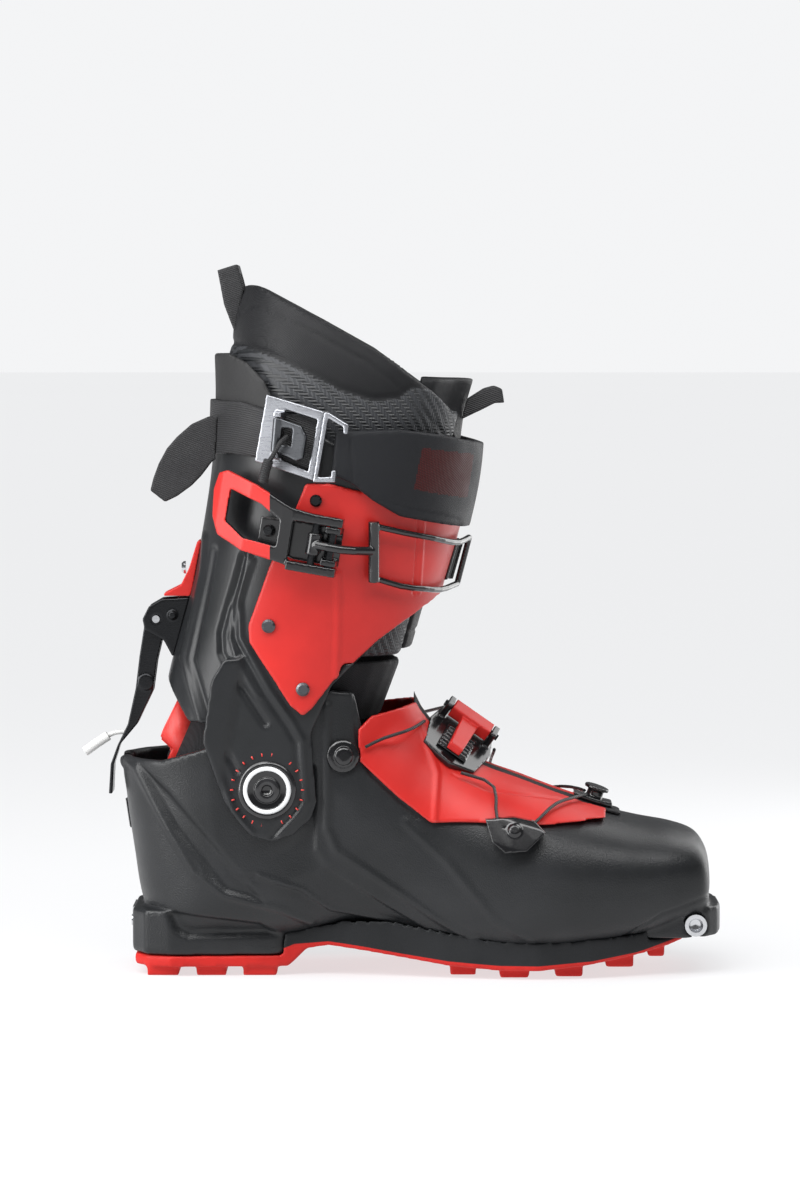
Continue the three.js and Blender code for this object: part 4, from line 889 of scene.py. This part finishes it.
# The buckle's lever: a red paddle round a black window, and a black linkage in front.
paddle = refined("buckle_lever", ["buckle_lever"], "gloss", "buckle_lever", voxel=0.5,
                 rounds=2)
paddle.data.materials.append(looks["red"])
PADDLE_END = 66.0
PADDLE_WINDOW = [(40, 227), (58.4, 221.5), (68, 217), (68, 202), (52.6, 198.5), (41, 210)]
FACING_OUT = -0.55
for face in paddle.data.polygons:
    spot = to_mm(face.center)
    in_window = inside(spot[0:1], spot[2:3], PADDLE_WINDOW)[0] > 0
    if spot[0] < PADDLE_END and (face.normal[1] < FACING_OUT or not in_window):
        face.material_index = 1

# The lacing cables are thinner than their packed stand-ins.
CABLE_THINNER = -0.65
for side_name in ("lateral", "medial"):
    for run in ("instep_cable", "forefoot_cable"):
        refined(f"{run}_{side_name}", [f"{run}_{side_name}"], "cable", "shell", voxel=0.4,
                rounds=3,
                grow=CABLE_THINNER)

# ---- Small pieces kept as packed, with better finishes ----
FINISHES = {
    "steel": ["toe_fitting_lateral", "toe_fitting_medial", "heel_fitting", "walk_lever_pin",
              "housing_bolt"],
    "black_metal": ["bail_pin", "buckle_pin", "buckle_screw", "flap_rivet_upper", "instep_lever_pin",
                    "lock_plate", "strap_cam_pin"],
    "dark_aluminium": ["flap_rivet_middle", "flap_rivet_lower"],
    "rubber": ["boot_board"],
    "pale": ["walk_lever_pull"],
    "webbing": ["strap_cam_pull"],
}
CREASE = math.radians(32)
EDGE_EASE_M = 0.00035


def shading_group():
    """Smooth faces with creases kept, as a modifier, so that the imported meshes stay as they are."""
    group = bpy.data.node_groups.new("creased", "GeometryNodeTree")
    group.interface.new_socket("Geometry", in_out="INPUT", socket_type="NodeSocketGeometry")
    group.interface.new_socket("Geometry", in_out="OUTPUT", socket_type="NodeSocketGeometry")
    start = group.nodes.new("NodeGroupInput")
    end = group.nodes.new("NodeGroupOutput")
    faces = group.nodes.new("GeometryNodeSetShadeSmooth")
    edges = group.nodes.new("GeometryNodeSetShadeSmooth")
    edges.domain = "EDGE"
    angle = group.nodes.new("GeometryNodeInputMeshEdgeAngle")
    flat = group.nodes.new("FunctionNodeCompare")
    flat.operation = "LESS_THAN"
    flat.inputs[1].default_value = CREASE
    group.links.new(angle.outputs["Unsigned Angle"], flat.inputs[0])
    group.links.new(start.outputs[0], faces.inputs["Geometry"])
    group.links.new(faces.outputs[0], edges.inputs["Geometry"])
    group.links.new(flat.outputs[0], edges.inputs["Shade Smooth"])
    group.links.new(edges.outputs[0], end.inputs[0])
    return group


creased = shading_group()
for finish, names in FINISHES.items():
    for name in names:
        piece = nodes[name]
        piece.data.materials.clear()
        piece.data.materials.append(looks[finish])
        bevel = piece.modifiers.new("eased_edges", "BEVEL")
        bevel.width = EDGE_EASE_M
        bevel.segments = 2
        bevel.limit_method = "ANGLE"
        bevel.angle_limit = CREASE
        bevel.use_clamp_overlap = True
        piece.modifiers.new("creased", "NODES").node_group = creased


# ---- Stage and light ----
def soft_box(name, place_mm, aim_mm, size, power):
    data = bpy.data.lights.new(name, "AREA")
    data.shape = "RECTANGLE"
    data.size, data.size_y = size
    data.energy = power
    lamp = bpy.data.objects.new(name, data)
    bpy.context.scene.collection.objects.link(lamp)
    lamp.location = to_row(place_mm)
    lamp.rotation_euler = (Vector(to_row(aim_mm)) - lamp.location).to_track_quat("-Z", "Y").to_euler()


def wide_sun(name, toward, strength, angle_deg):
    data = bpy.data.lights.new(name, "SUN")
    data.energy = strength
    data.angle = math.radians(angle_deg)
    lamp = bpy.data.objects.new(name, data)
    bpy.context.scene.collection.objects.link(lamp)
    lamp.rotation_euler = Vector(toward).to_track_quat("-Z", "Y").to_euler()


BACKDROP = (0.905, 0.91, 0.92)
ROOM_LIGHT = 0.14
FLOOR_GLOW = 0.74
FLOOR_SIZE_M = 60
FLOOR_DARK = (0.24, 0.242, 0.246)
FLOOR_LIGHT = (0.25, 0.252, 0.256)
ROOM_COLOUR = (0.93, 0.94, 0.96)
# Each row: the lamp, its place, where it aims, its size in metres and its power.
SOFT_BOXES = [
    ("left", (-620, -360, 330), (60, 0, 120), (0.35, 0.8), 6),
    ("high", (260, -420, 720), (140, 0, 120), (0.9, 0.25), 4),
    ("rim", (620, 420, 420), (120, 0, 150), (0.4, 0.9), 3),
]


def make_stage():
    bpy.ops.mesh.primitive_plane_add(size=FLOOR_SIZE_M, location=(0, 0, 0))
    floor = bpy.context.object
    floor.name = "floor"
    n = Nodes("floor")
    n.link(n.mix(n.noise(0.4), FLOOR_DARK, FLOOR_LIGHT), n.shader.inputs["Base Color"])
    n.shader.inputs["Roughness"].default_value = 0.9
    n.shader.inputs["Specular IOR Level"].default_value = 0.0
    n.shader.inputs["Emission Color"].default_value = (*BACKDROP, 1)
    n.shader.inputs["Emission Strength"].default_value = FLOOR_GLOW
    floor.data.materials.append(n.material)
    scene = bpy.context.scene
    scene.view_settings.view_transform = "Standard"
    scene.world = bpy.data.worlds.new("studio")
    scene.world.use_nodes = True
    tree = scene.world.node_tree
    room = tree.nodes["Background"]
    room.inputs["Color"].default_value = (*ROOM_COLOUR, 1)
    room.inputs["Strength"].default_value = ROOM_LIGHT
    seen = tree.nodes.new("ShaderNodeBackground")
    seen.inputs["Color"].default_value = (*BACKDROP, 1)
    path = tree.nodes.new("ShaderNodeLightPath")
    pick = tree.nodes.new("ShaderNodeMixShader")
    tree.links.new(path.outputs["Is Camera Ray"], pick.inputs[0])
    tree.links.new(room.outputs[0], pick.inputs[1])
    tree.links.new(seen.outputs[0], pick.inputs[2])
    tree.links.new(pick.outputs[0], tree.nodes["World Output"].inputs["Surface"])
    wide_sun("key", (0.5, 0.35, -1.0), 2.2, 50)
    for lamp in SOFT_BOXES:
        soft_box(*lamp)


make_stage()
